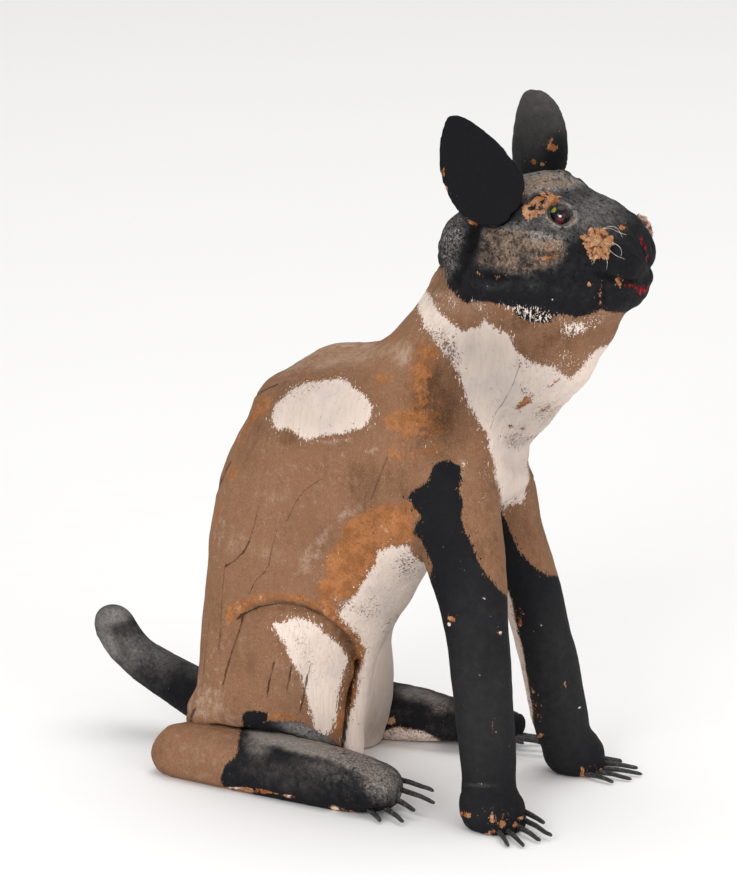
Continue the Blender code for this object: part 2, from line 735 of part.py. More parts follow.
def main():
    clear_scene()
    parts = collection("carved_wooden_cat")
    cutters = collection("cutters")
    finish = {name: material(name) for name in COLOURS}
    ground = ground_cutter(cutters)

    sockets = [tail_skin(GAP)]
    for side in SIDES:
        sockets += [ear_skin(side, GAP), eye_skin(side, GAP), pad_skin(side, GAP), hind_foot_skin(side, GAP)]
        sockets += [claw_skin("fore", side, number, GAP) for number in range(len(CLAWS["fore", side]))]
    socket_cut = add_cutter("socket_cut", joined("socket_cut", sockets), cutters)

    body = add_object("body", body_mesh(cutters), parts, finish["brown_paint"])
    thin = body.modifiers.new("fewer_faces", "DECIMATE")
    thin.ratio = BODY_FACES / (2 * len(body.data.polygons))
    cut(body, socket_cut)
    cut(body, ground)

    tail = add_object("tail", tail_skin(), parts, finish["black_paint"])
    cut(tail, ground)
    for side in SIDES:
        add_object(f"ear_{side}", ear_skin(side), parts, finish["black_paint"])
        add_object(f"eye_{side}", eye_skin(side), parts, finish["glass"])
        add_object(f"whisker_pad_{side}", pad_skin(side), parts, finish["gum"])
        foot = add_object(f"hind_foot_{side}", hind_foot_skin(side), parts, finish["black_paint"])
        holes = [claw_skin("hind", side, number, GAP) for number in range(len(CLAWS["hind", side]))]
        cut(foot, add_cutter(f"hind_claw_cut_{side}", joined("holes", holes), cutters))
        cut(foot, ground)
        for foot_name in ("fore", "hind"):
            for number in range(len(CLAWS[foot_name, side])):
                name = f"claw_{foot_name}_{side}_{number + 1}"
                add_object(name, claw_skin(foot_name, side, number), parts, finish["claw_black"])


main()
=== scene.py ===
"""Looks of the carved and painted wooden cat, on the packed model as a fixed frame.

The cat faces +X, its left side is +Y and it stands on z = 0, in metres. The worn paint is laid out in
the picture plane of the photograph's camera, carried onto the carved skin as signed distances, and
roughened in the materials. The side that the photograph does not show gets a plainer mirror of it.
"""

import math

import bmesh
import bpy
import numpy as np
from bpy.props import FloatProperty, FloatVectorProperty, IntProperty, PointerProperty
from mathutils import Matrix, Vector


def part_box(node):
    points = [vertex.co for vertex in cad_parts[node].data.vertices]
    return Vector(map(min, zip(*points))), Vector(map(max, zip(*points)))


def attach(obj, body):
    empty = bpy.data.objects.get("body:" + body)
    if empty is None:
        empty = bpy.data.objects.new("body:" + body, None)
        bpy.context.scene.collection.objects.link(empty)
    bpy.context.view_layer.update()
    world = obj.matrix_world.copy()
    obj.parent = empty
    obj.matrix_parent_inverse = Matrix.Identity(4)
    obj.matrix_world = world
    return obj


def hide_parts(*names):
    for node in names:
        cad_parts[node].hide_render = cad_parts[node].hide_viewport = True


bl_info = {
    "name": "Carved Cat Dresser",
    "version": (1, 0, 0),
    "blender": (4, 5, 0),
    "location": "3D View > Sidebar > Carved Cat",
    "description": "Dresses the solid carved cat with worn paint, grain, glass eyes and whiskers",
    "category": "Object",
}

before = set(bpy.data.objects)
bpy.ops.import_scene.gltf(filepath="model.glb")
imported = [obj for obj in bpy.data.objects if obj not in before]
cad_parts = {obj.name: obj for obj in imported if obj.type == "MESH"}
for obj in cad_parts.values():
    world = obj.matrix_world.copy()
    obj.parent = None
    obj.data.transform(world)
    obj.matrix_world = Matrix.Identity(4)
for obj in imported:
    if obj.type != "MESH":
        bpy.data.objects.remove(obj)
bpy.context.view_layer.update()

# Camera of the photograph, and how a pixel of the 737 x 875 picture lies in the scene
PICTURE = (737.0, 875.0)
CAMERA_AZIMUTH = 30.0
CAMERA_ELEVATION = 13.5
CAMERA_DISTANCE = 4.5
CAMERA_TARGET = (0.11, -0.002, 0.275)
FOCAL_PIXELS = 5625.0
SENSOR = 36.0
PIXEL = CAMERA_DISTANCE / FOCAL_PIXELS

# Studio lights: name, place, diameter and the setting of their power
LIGHTS = (
    ("main_light", (0.6, -3.1, 1.4), 1.6, "key_power"),
    ("side_light", (2.9, -1.2, 1.1), 1.6, "side_power"),
    ("top_light", (0.2, 1.4, 6.0), 6.0, "top_power"),
)

# The solid's own measures that the paint and the carving follow
HEAD_PIVOT = 0.260
HEAD_TURN = 8.0
SIDES = {"right": -1.0, "left": 1.0}
MIRROR = np.array([1.0, -1.0, 1.0])     # in the cat's middle plane, as a factor on each place
LEG_LINE = {
    "right": ((0.175, -0.043, 0.310), (0.202, -0.051, 0.270), (0.224, -0.0595, 0.225),
              (0.2395, -0.0655, 0.180), (0.249, -0.070, 0.135), (0.2555, -0.0735, 0.090),
              (0.261, -0.0765, 0.050), (0.268, -0.086, 0.0)),
    "left": ((0.170, 0.040, 0.310), (0.188, 0.047, 0.260), (0.208, 0.052, 0.210), (0.223, 0.056, 0.165),
             (0.2365, 0.061, 0.110), (0.246, 0.066, 0.060), (0.256, 0.073, 0.0)),
}
LEG_REACH = 0.040           # half thickness of a leg with its paw, for telling it from the trunk
LEG_TOP = {"right": 0.262, "left": 0.235}
LEFT_CRACK = ((0.116, 0.047, 0.1265), (0.105, 0.037, 0.078), (0.097, 0.035, 0.055), (0.092, 0.0345, 0.025),
              (0.087, 0.034, 0.0))
MOUTH = ((0.328, 0.046, 0.438), (0.341, 0.038, 0.433), (0.350, 0.020, 0.429), (0.354, 0.0, 0.427))
NOSTRIL = ((0.353, 0.017, 0.458), (0.3545, 0.016, 0.450))
EYE_RIM = 0.0098            # distance of the eye's rim from the middle of the marble
HEAD_BOTTOM = 0.392         # height from which the skin is finer
HEAD_SETS_IN = (0.395, 0.42)    # heights over which the trunk's carving gives way to the head's
NECK = (0.385, 0.43)        # heights over which the mirror plane turns with the head
MERGE_DISTANCE = 0.00002    # joins the loose triangles of the solids
EAR_GRID = 0.0014           # distance between the points of an ear
SMOOTHING = 9               # rounds of smoothing over the solids' edges
EAR_SMOOTHING = 6
CARVING_SETS_IN = (0.001, 0.008)        # heights over the ground
TOES_SET_IN = (0.001, 0.006)
FLOOR_HEIGHT = -0.0004      # a hair under the soles
FAR_PAD_SHIFT = (0.0060, -0.0035)   # right and up in the picture, from the mirrored place

# Paint outlines in pixels of the picture
CHEST_BAND = (
    (419.8, 283.3), (415.7, 296.6), (417.3, 308.2), (423.9, 324.8), (431.4, 336.4), (441.4, 351.3),
    (453, 362.9), (461.3, 376.2), (466.2, 392.8), (470.4, 406), (479.5, 422.6), (487.8, 434.2),
    (489.5, 450.8), (494.4, 464.1), (494.4, 477.3), (500.2, 493.9), (501.9, 510.5), (511, 505.5),
    (521, 503.9), (524.3, 497.2), (527.6, 484), (528.4, 467.4), (532, 452.5), (560, 430), (640, 360),
    (640, 330), (603.9, 346.3), (595.6, 349.7), (589, 358), (580.7, 369.6), (570.7, 379.5), (565.7, 376.2),
    (559.1, 371.2), (554.1, 366.2), (545.8, 366.2), (535.9, 362.9), (526, 358), (517.7, 353), (512.7, 343),
    (507.7, 333.1), (501.1, 331.4), (492.8, 324.8), (482.8, 319.8), (479.5, 328.1), (469.6, 328.1),
    (462.9, 331.4), (451.3, 323.1), (441.4, 314.8), (433.1, 304.9), (428.1, 294.9), (423.1, 288.3),
)
BACK_OVAL = (
    (271.5, 417.9), (275.7, 406.3), (286.4, 397.2), (296.4, 388.1), (311.3, 383.4), (326.2, 381.5),
    (339.5, 379.8), (349.5, 382.3), (356.1, 389.8), (366, 397.2), (373.5, 406.3), (371.8, 417.9),
    (364.4, 426.2), (354.4, 430.9), (339.5, 434.5), (324.6, 434.5), (313, 438.7), (304.7, 437.8),
    (294.7, 432.9), (286.4, 427.9), (279.8, 430.9), (274, 426.2),
)
THIGH_PATCH = (
    (271.9, 622.9), (283.6, 622), (298.4, 617.3), (309.5, 621), (320.6, 628.4), (333.5, 639.5),
    (342.7, 648.8), (348.3, 656.2), (347.4, 665.4), (342.7, 674.7), (340, 685.8), (336.3, 696.9),
    (337.2, 708), (337.2, 717.2), (333.5, 726.5), (326.1, 737.5), (320.6, 739.4), (315, 732), (314.1, 722.8),
    (309.5, 704.3), (305.8, 693.2), (300.2, 674.7), (291, 659.9), (283.6, 643.2), (276.2, 631.2),
)
BELLY = (
    (338, 612), (343, 604), (354, 595), (362.7, 585.4), (372.7, 568.9), (377.6, 554), (389.3, 547.3),
    (405.8, 545.6), (414, 543.2), (424, 554), (434, 567), (470, 590), (560, 590), (560, 790), (343, 790),
    (342.8, 745), (344.6, 735.7), (350.2, 717.2), (357.5, 689.5), (362.2, 663.6), (365, 648), (357.5, 634),
    (346.5, 622.9),
)
HEAD_BLACK = (
    (434, 264), (441, 270), (446.3, 285), (458, 296.6), (466.2, 303.2), (479.5, 301.6), (496.1, 303.2),
    (512.7, 306.5), (517.7, 316.5), (529.3, 321.5), (542.5, 323.1), (550.8, 321.5), (557.5, 313.2),
    (575.7, 316.5), (587.3, 314.8), (600.6, 309.9), (612.2, 311.5), (628.8, 313.2), (700, 310), (700, 100),
    (400, 100), (420, 250),
)
NEAR_LEG_BLACK = (
    (441.5, 460), (450.6, 462), (460.6, 466), (461.4, 477.6), (458.9, 489.3), (463, 505.8), (461.4, 519.1),
    (465.5, 532.4), (478, 562), (489, 579), (499, 589), (508, 597), (560, 602), (560, 900), (420, 900),
    (425, 600), (433.2, 565.5), (429, 557.2), (424, 544), (414, 532), (416, 522.4), (422.4, 517.4),
    (414.1, 509.2), (407.5, 497.5), (412.5, 490.9), (420.8, 486.8), (429, 481), (430.7, 472.7), (435, 465),
)
FAR_LEG_BLACK = (
    (480, 500), (500, 512), (505, 520), (517, 548), (529, 564), (538, 570), (549, 575), (562, 577),
    (620, 580), (640, 820), (480, 820),
)
FAR_LEG_STRIP = (
    (480, 590), (509, 590), (512.6, 601), (516.7, 622), (522, 646), (526, 671), (530, 691), (533.5, 711),
    (535, 728), (537.5, 744), (541, 760), (547, 771), (554, 777), (548, 790), (480, 790),
)
RUST_FIELD = (
    (346, 522.4), (366, 509.2), (382.6, 504.2), (395.9, 504.2), (407.5, 514.1), (415.8, 525.7), (415.8, 539),
    (399.2, 546), (386, 549), (379, 558), (374, 571), (364, 588), (352.8, 598), (339.5, 603), (322, 600),
    (314.6, 588.8), (326.2, 575.5), (326.2, 555.6), (337.8, 539),
)
THIGH_ARC = (
    (238, 618.5), (245.7, 613.6), (259.5, 607.2), (276.2, 604), (291, 604.4), (305.8, 608.1), (320.6, 615.5),
    (333.5, 624.7), (344.6, 635.8), (352, 646.9), (354.8, 656.2), (358.5, 663.6),
)
THIGH_CRACK = (
    (358.5, 663.6), (356.6, 678.4), (352, 689.5), (349.2, 704.3), (347.4, 719.1), (345.5, 732), (343.7, 750),
)
BACK_OF_HEAD = (
    (456.5, 213), (443, 224), (438, 233), (435, 243), (437.5, 258.6), (440.8, 274), (446.6, 280), (449, 278),
    (454, 267), (455.7, 254.5), (460.7, 242), (463, 232), (464, 221),
)
CHEEK = (
    (479.8, 231), (488, 226), (500.5, 226), (513, 229), (527, 228), (545, 232), (560, 236), (570, 244),
    (566, 254), (560, 264), (552, 272), (535, 275), (520, 274.4), (504.6, 273.6), (488, 269), (474, 265),
    (475, 254), (477, 242),
)
CROWN = (
    (519, 181), (524, 175), (532, 172), (544.6, 169.9), (559.4, 174.8), (573.3, 176.8), (583, 182.7),
    (569, 187.7), (554.5, 191.6), (536, 194.8), (524, 200), (519, 192),
)
BROW = (
    (521, 207), (529.5, 202.3), (533.7, 196.5), (544.4, 193.1), (554.4, 193.1), (559.4, 197), (557.7, 201),
    (550.2, 204.4), (547, 209), (546.1, 215.5), (536, 217), (529.5, 216.4), (526, 211.4),
)
CHEEK_BACK = ((476, 224), (470, 238), (466, 254), (461, 270), (458, 282))
CHEEK_FOLD = ((522.9, 228.4), (534, 229.4), (546, 228.8), (556, 231))
EAR_GAP = ((486, 222.5), (493, 225), (502, 219.7), (513, 207.4), (523.7, 197.5))
RUST_FLECKS = (
    (0.70, 421, 372, 22, 44, 8), (0.70, 402, 422, 30, 28, 0), (0.70, 262, 407, 30, 12, -52),
    (0.40, 312, 378, 34, 8, -8), (0.50, 430, 418, 30, 38, 0), (0.50, 437, 450, 18, 8, 0),
    (0.75, 233, 473, 8, 12, 20), (0.30, 330, 441, 40, 7, -4), (0.50, 386, 378, 18, 14, 0),
    (0.45, 402, 454, 44, 16, 0), (0.70, 236, 609, 22, 10, -25), (0.65, 341, 618, 32, 9, 42),
    (0.60, 360, 660, 9, 40, 6), (0.45, 217, 515, 12, 30, 6), (0.80, 282, 717, 40, 5, 8),
    (0.35, 440, 345, 40, 24, 0), (0.25, 208, 575, 12, 60, 0), (0.35, 492, 610, 10, 30, 0),
    (0.15, 300, 470, 70, 50, 0), (0.45, 242, 435, 9, 40, 22), (0.70, 412, 506, 16, 20, -30),
    (0.25, 470, 440, 20, 60, -20), (0.30, 370, 395, 20, 30, 0), (0.70, 339, 722, 14, 20, 0),
    (0.45, 388, 340, 22, 10, 0),
)
DARK_AND_PALE = (
    (-0.50, 438, 405, 44, 70, -8), (0.45, 335, 355, 90, 18, -12), (0.10, 300, 480, 60, 40, 0),
    (0.10, 250, 560, 60, 60, 0), (-0.30, 282, 436, 40, 16, 20), (-0.08, 300, 640, 60, 30, 20),
    (0.30, 205, 715, 40, 22, 0), (0.35, 404, 356, 18, 22, 0), (0.22, 440, 300, 30, 40, 30),
    (-0.06, 262, 700, 40, 40, 0), (0.15, 380, 430, 24, 30, 0), (-0.25, 560, 345, 60, 30, -20),
    (-0.20, 510, 320, 50, 16, 10), (-0.15, 360, 480, 40, 30, 0), (-0.25, 300, 610, 60, 5, 4),
)
# Painted shade, which darkens the colour towards black: share, middle, half sizes and lean, in pixels
PAINTED_SHADE_SPOTS = (
    (0.46, 492, 372, 105, 95, 0), (0.20, 525, 455, 60, 70, 0), (0.27, 325, 405, 95, 62, 0),
    (0.22, 402, 600, 60, 90, 10), (0.45, 396, 700, 34, 120, 8), (0.24, 440, 425, 44, 60, 0),
    (0.16, 580, 330, 60, 30, 0), (0.50, 494, 276, 30, 7, 5), (0.30, 601, 296, 8, 14, 0),
    (0.30, 540, 206, 26, 16, -20), (0.30, 552, 254, 18, 9, -8),
)
DUST_ON_BROWN = (
    (0.70, 404, 356, 12, 16, 10), (0.55, 318, 546, 10, 40, 22), (0.45, 277, 530, 4, 26, 8),
    (0.50, 356, 345, 30, 8, -8), (0.25, 226, 540, 26, 30, 0), (0.60, 332, 441, 34, 5, -3),
    (0.80, 372, 450, 13, 4, -14), (0.40, 350, 512, 24, 12, -30), (0.40, 205, 700, 30, 40, 0),
    (0.45, 245, 722, 36, 12, 0), (0.22, 220, 640, 16, 50, 0), (0.45, 348, 603, 24, 10, 30),
    (0.30, 300, 372, 50, 12, -20), (0.35, 440, 290, 20, 40, 25), (0.60, 464, 464, 8, 10, 0),
    (0.10, 300, 470, 90, 60, 0), (0.10, 340, 500, 60, 60, 0), (0.50, 303, 562, 10, 24, 20),
    (0.40, 222, 520, 8, 10, 0),
)
STAINS_ON_WHITE = (
    (0.75, 408, 566, 22, 22, 28), (0.7, 548, 412, 26, 20, -40), (1.0, 446, 348, 16, 42, -34),
    (0.8, 515, 440, 26, 14, 0), (0.7, 524, 391, 10, 9, 20), (0.4, 350, 680, 8, 50, 8),
    (0.45, 372, 606, 16, 30, 30), (0.5, 300, 392, 44, 12, -20), (0.7, 540, 360, 44, 12, -8),
    (0.5, 390, 630, 14, 30, 20), (0.5, 303, 650, 10, 50, -20), (0.5, 520, 500, 20, 12, 0),
    (0.6, 354, 606, 22, 12, 30),
)
WHITE_FLECKS = (
    (0.97, 537, 315, 42, 15, 8), (0.90, 570, 331, 22, 16, 0), (0.88, 590, 323, 34, 13, -14),
    (0.85, 480, 306, 26, 9, 25), (0.75, 452, 300, 14, 24, -30), (0.80, 566, 357, 26, 16, 20),
    (0.70, 508, 306, 26, 8, 8), (0.90, 464, 465, 7, 9, 0), (0.75, 483, 497, 16, 8, -20),
    (0.70, 482, 474, 12, 14, -30), (0.70, 372, 449, 14, 4, -16), (0.70, 506, 512, 12, 10, 0),
    (0.60, 345, 604, 30, 12, 30), (0.35, 350, 346, 26, 8, -6), (0.75, 552, 368, 34, 10, 20),
    (0.45, 425, 446, 26, 20, 0), (0.45, 412, 505, 12, 18, -30), (0.40, 290, 610, 40, 8, 5),
    (0.45, 470, 420, 10, 50, -20), (0.55, 300, 650, 12, 50, -25), (0.35, 205, 640, 16, 50, 0),
    (0.55, 340, 690, 10, 50, 8), (0.12, 290, 500, 90, 110, 0), (0.60, 600, 352, 20, 10, -40),
    (0.40, 392, 345, 12, 14, 0), (0.40, 330, 560, 20, 40, 20),
)
CHIPS_IN_BLACK = (
    (0.0085, 462, 560, 8, 50, -8), (0.0085, 416, 526, 12, 20, -30), (0.0070, 520, 640, 8, 60, 6),
    (0.0080, 497, 818, 34, 12, 10), (0.0080, 592, 776, 20, 12, 10), (0.0074, 426, 545, 10, 20, -20),
    (0.0096, 521, 614, 8, 20, 8), (0.0098, 535, 705, 7, 30, 8), (0.0085, 451, 622, 5, 7, 0),
    (0.0094, 588, 776, 14, 9, 10),
)
COOL_DUST = (
    (0.41, 590, 212, 56, 44, 0), (0.33, 540, 222, 40, 24, 0), (0.30, 500, 226, 30, 10, 0),
    (0.28, 545, 240, 34, 16, 0), (0.10, 480, 700, 60, 190, 0), (0.10, 560, 690, 60, 160, 0),
    (0.12, 512, 286, 60, 10, 4), (0.14, 478, 784.6, 30, 2.5, 1), (0.75, 308, 732, 50, 12, 16),
)
# Small bare places: middle, half sizes and lean, in pixels
BARE_CHIPS = (
    (551, 250, 7, 1.6, -6), (548, 257.5, 9, 1.8, -8), (556, 256, 4, 1.2, 0), (478, 273.5, 2.6, 1.5, 10),
    (497, 277, 2.6, 1.8, 0), (507, 277, 2.6, 1.9, 0), (621, 228, 4, 3.0, 20), (618.7, 281, 3.0, 4.2, 0),
    (600.5, 295, 1.5, 8, 3), (589, 284.6, 2.0, 1.5, 0), (535.5, 163, 6.5, 5, 10), (527, 168, 4, 3, 0),
    (526, 401.5, 10.5, 3.2, -38), (518.5, 409, 3.6, 2.4, -40), (469.5, 221, 3.6, 2.6, 30),
    (503, 824, 4.2, 5.2, 10), (491.5, 818, 2.2, 5.5, 0), (516, 824.5, 3.2, 3.2, 0), (521.5, 818.5, 3, 2, 0),
    (467, 816, 3.6, 2.4, 0), (461.5, 813, 1.8, 2.2, 0), (493, 832.5, 4, 2.0, 0), (484, 834.5, 4, 1.4, 0),
    (583.5, 777, 4.4, 4.0, 20), (588, 781.5, 4.2, 2.6, 0), (582.5, 770, 2.0, 3.0, 0),
    (590, 766.5, 2.2, 1.6, 0), (602, 771, 2.0, 4.2, -30), (492, 727, 1.5, 3.6, 0), (501, 634, 1.9, 2.4, 0),
    (450.5, 619, 3.6, 3.0, 0), (540, 735.5, 3.2, 3.0, 0), (565, 684, 1.4, 1.8, 0), (533, 692, 2.2, 1.6, 20),
    (536, 704, 2.4, 1.5, 30), (538, 715, 1.8, 1.4, 0), (517, 617, 2.2, 1.5, 0), (521, 624, 1.4, 2.0, 0),
    (549, 407, 3.0, 1.5, -30), (543, 411, 2.0, 1.2, 0), (512, 427, 3.4, 1.2, -10), (530, 437, 3.0, 1.1, -20),
    (524, 429, 2.4, 1.1, 0), (556, 381, 3.4, 1.2, -36), (548, 386, 2.4, 1.0, -30),
)
# Specks of light paint on the black
PALE_SPECKS = (
    (448.6, 624, 2.0, 2.2, 0), (501.3, 633, 1.5, 1.9, 0), (479.5, 675.5, 1.1, 1.1, 0),
    (485.6, 651.5, 1.0, 1.0, 0), (479.5, 783.6, 2.6, 1.0, 0), (484, 598, 1.4, 1.8, 0),
    (492, 617, 1.2, 1.0, 0), (565, 684, 1.1, 1.2, 0), (580, 708, 1.6, 1.2, 0), (553, 702, 1.0, 1.0, 0),
    (540, 722, 1.1, 1.1, 0), (552.6, 299.2, 0.9, 0.9, 0), (541, 625, 1.3, 1.0, 0), (464, 668, 0.9, 0.9, 0),
    (486, 741, 1.0, 0.9, 0), (478, 770, 1.1, 0.8, 0),
)
RED_LINES = (
    ((623.7, 284.6), (630, 286.6), (638, 288), (647.4, 286.5)), ((640.5, 237.5), (642.4, 242), (645, 246.5)),
    ((648.5, 256), (648, 261)), ((637, 290), (639, 293.5)),
)
RED_SPOTS = ((640.5, 288.5, 6.5, 3.0, 12), (630.5, 286.4, 4.5, 1.5, 15), (645.5, 247, 1.6, 3.0, 0))
# Green and dark red spots of the near eye, and the spot of its painted highlight
EYE_GREEN = ((1.2, 552.5, 209.6, 5.5, 4.5, 0),)
EYE_GLOW = ((0.9, 559.5, 220.5, 8.0, 5.0, 0), (0.5, 566, 214, 4, 6, 0))
EYE_PAINTED_HIGHLIGHT = ((1.0, 560.2, 216.2, 2.4, 2.2, 0),)
# Outline of the near whisker pad and the long whiskers that stand out of it, in pixels
PAD_OUTLINE = (
    (580, 236), (589, 231.5), (597, 227), (601, 231), (604, 228), (605.5, 234), (613, 241), (608, 245),
    (607, 250), (608, 259), (601, 255.5), (597, 257), (594, 262), (590, 255), (588.5, 247), (584, 242),
)
WHISKERS = (
    ((603, 229), (610, 228), (617, 232), (626, 235)), ((611, 242), (618.7, 246), (621.7, 252), (620, 258)),
    ((609, 250), (615, 256), (624.5, 259.5)), ((604, 228), (612, 226), (618, 230), (622, 238)),
    ((605, 256), (607, 262), (606, 270)),
)
# Drying cracks in the trunk: line in pixels, half width in metres, depth in metres
SPLITS = (
    (((258, 508), (255, 524), (250, 541)), 0.00028, 0.0006),
    (((250, 541), (243, 553), (234, 561), (226, 566)), 0.0006, 0.0012),
    (((301, 494), (294, 504), (287, 520)), 0.0003, 0.0006),
    (((277, 530), (272, 548), (269, 566)), 0.0003, 0.0008),
    (((265, 572), (256, 580), (250, 592)), 0.0004, 0.0008),
    (((225, 566), (222, 590), (220.5, 620), (219, 650)), 0.00028, 0.0006),
    (((243, 614), (238, 632), (231, 652), (226.5, 668), (223, 684)), 0.0005, 0.0012),
    (((274, 663), (270, 678), (267, 695)), 0.00055, 0.0010),
    (((291.5, 668), (290, 680), (287, 690)), 0.0006, 0.0010),
    (((308, 676), (305, 694), (301, 711)), 0.0006, 0.0012), (((311, 665), (308, 676)), 0.0003, 0.0004),
    (((193.5, 695), (192.5, 704), (193, 714)), 0.0008, 0.0012),
    (((201, 708), (199, 714), (197, 718)), 0.0006, 0.0010),
    (((209, 620), (206, 650), (202, 690)), 0.0003, 0.0008),
    (((240, 397), (250, 388), (262, 380), (281, 371)), 0.0005, 0.0010),
    (((216, 494), (222, 480), (230, 462)), 0.0006, 0.0010),
    (((258, 398), (266, 392), (278, 386)), 0.0005, 0.0010),
    (((387, 458), (382, 470), (376, 484)), 0.0004, 0.0008), (((376, 484), (371, 498)), 0.0003, 0.0004),
    (((519.3, 366.2), (512.7, 386), (502.7, 404.4), (496, 412.7), (491, 427.6)), 0.0003, 0.0005),
    (((320, 480), (306, 489), (301, 494)), 0.00025, 0.0003),
)
# Cool part of the cheek, dark spots of the shoulder, grit of the smear and the bulge at the trunk's foot
COOL_CHEEK = ((0.5, 540, 236, 30, 12, 8),)
SHOULDER_SPOTS = ((0.5, 430, 410, 32, 50, 0),)
SMEAR_GRIT = ((0.6, 300, 732, 60, 16, 14),)
LOW_BULGE = ((0.007, 190, 712, 34, 30, 0),)
SHOULDER_ENDS = 560         # row under which the near foreleg is clear of the trunk
RIDGE_STARTS = (216, 232)   # columns over which the ridge of the thigh sets in
# columns over which the painted shade under the thigh's ledge sets in
ARC_SHADE_STARTS = (262, 285)
LEDGE_STARTS = (226, 262)
LEDGE_ENDS = (655, 672)     # rows over which the thigh's ledge fades
HEAD_GRIT_ENDS = (400, 430)
# Height that the outline gains, and how far it moves to the picture's right, in metres: both with middle,
# half sizes and lean in pixels
CONTOUR = (
    (0.0045, 262, 388, 36, 22, -48), (0.0030, 335, 345, 40, 14, -14), (0.0038, 624, 208, 42, 22, 35),
    (0.0020, 566, 172, 14, 9, 20), (-0.0022, 656, 262, 12, 26, 0), (0.0018, 641, 300, 18, 12, -45),
)
SIDEWAYS = ((-0.0100, 538, 453, 54, 30, 0), (0.0084, 572, 399, 56, 44, -52))
FOOT_SIDEWAYS = ((-0.0036, 158, 762, 24, 32, 0), (-0.0034, 407, 788, 22, 26, 0))
# The near hind foot, the tail and the far hind foot
HEEL_EDGE = ((243, 705), (242.9, 713.5), (239, 737.5), (235.5, 756), (226, 765), (220.7, 778), (224.4, 790))
FOOT_DUST = (
    (1.40, 300, 740, 64, 17, 12), (1.05, 350, 756, 50, 17, 24), (0.72, 384, 782, 36, 28, 30),
    (0.22, 330, 765, 50, 22, 20), (0.45, 258, 742, 22, 22, 0), (0.35, 404, 800, 10, 16, 0),
    (0.14, 290, 775, 80, 24, 12),
)
FOOT_CHIPS = (
    (0.0108, 250, 789.5, 26, 4.5, 6), (0.0108, 290, 796, 9, 4, 8), (0.0090, 262, 792, 60, 5, 6),
    (0.0108, 346, 812, 20, 4, 14), (0.0086, 330, 806, 60, 5, 12), (0.0092, 393, 803, 8, 5, 0),
    (0.0088, 285, 722, 30, 5, 10), (0.0088, 276, 734, 10, 4, 20), (0.0070, 370, 806, 30, 9, 20),
    (0.0106, 334, 809, 5, 4, 0), (0.0098, 220, 788, 18, 2.5, 4),
)
FOOT_PALE = (
    (348, 814.5, 10, 2.0, 14), (337, 809, 4, 1.4, 10), (290, 795.5, 3, 1.2, 0), (236, 788, 5, 0.9, 5),
)
TAIL_DUST = (
    (0.50, 114, 616, 26, 14, -10), (0.44, 106, 640, 14, 30, -30), (0.12, 150, 652, 40, 26, 30),
    (0.20, 128, 650, 20, 30, -30), (-0.20, 182, 690, 24, 30, 0), (0.15, 120, 665, 40, 12, 40),
)
FAR_FOOT_DUST = ((0.45, 415, 694, 30, 12, 10), (0.35, 440, 704, 22, 14, 20), (0.10, 400, 715, 20, 14, 0))
FAR_FOOT_WHITE = (
    (374, 737), (386, 730), (398, 726.5), (424, 731), (439, 740), (452, 747), (453, 752), (430, 754),
    (380, 752),
)
FAR_FOOT_CHIPS = ((390, 721, 5, 3.6, 0),)
FAR_EAR_WARMTH = ((0.9, 551, 145, 8, 9, 0),)
FAR_EAR_CLEAN = ((0.15, 556, 150, 18, 26, 10),)
FAR_EAR_CHIPS = (
    (533, 162, 5, 3.5, 20), (541, 164, 4, 2.5, 0), (551.5, 147, 6.5, 4.4, 0), (550.5, 140.5, 2.6, 4.4, 10),
)
NEAR_EAR_CHIPS = ((446, 188.5, 1.6, 3.4, -15), (444.6, 174, 1.2, 2.2, 0), (467.5, 221.5, 3.6, 2.2, 30),
                  (520.4, 194, 2.4, 2.6, 0), (472, 224, 1.6, 1.4, 0))
# Sideways growth of the near ear's outline, in metres
EAR_WIDENING = (
    (0.0044, 522, 176, 30, 44, 20), (-0.0034, 510, 220, 18, 12, -20), (-0.0014, 441, 150, 12, 60, 0),
)
# Black that runs from the near hind foot up the foot of the trunk
TRUNK_SMEAR = (
    (241, 740), (242, 712), (255, 711), (267, 713), (268, 721), (276, 722), (288, 721.5), (302, 723),
    (314, 729), (320, 733), (334, 741), (345, 750), (345, 765), (241, 765),
)


def linear(red, green, blue):
    """Linear colour of an 8-bit screen colour, for a material's socket."""
    return (*(((c / 255 + 0.055) / 1.055) ** 2.4 if c > 10 else c / 3295 for c in (red, green, blue)), 1.0)


# Settings a user would change

class CatCarving(bpy.types.PropertyGroup):
    """Sizes of the carved skin"""
    grid: FloatProperty(name="Grid", description="Distance between the points of the trunk's skin",
                        default=0.0028, min=0.002, max=0.01, unit="LENGTH", subtype="DISTANCE")
    limb_grid: FloatProperty(name="Limb grid",
                             description="Distance between the points of the feet and the tail",
                             default=0.0017, min=0.001, max=0.01, unit="LENGTH", subtype="DISTANCE")
    waviness: FloatProperty(name="Waviness", description="Height of the broad waves that the knife left",
                            default=0.0014, min=0.0, max=0.004, unit="LENGTH", subtype="DISTANCE")
    tool_marks: FloatProperty(name="Tool marks",
                              description="Depth of the small cuts on the head and the feet",
                              default=0.0008, min=0.0, max=0.003, unit="LENGTH", subtype="DISTANCE")
    grain: FloatProperty(name="Grain", description="Depth of the raised grain along the log",
                         default=0.00035, min=0.0, max=0.002, unit="LENGTH", subtype="DISTANCE")
    ledge: FloatProperty(name="Ledge", description="Height of the ledge over the thigh's carved line",
                         default=0.0024, min=0.0, max=0.006, unit="LENGTH", subtype="DISTANCE")


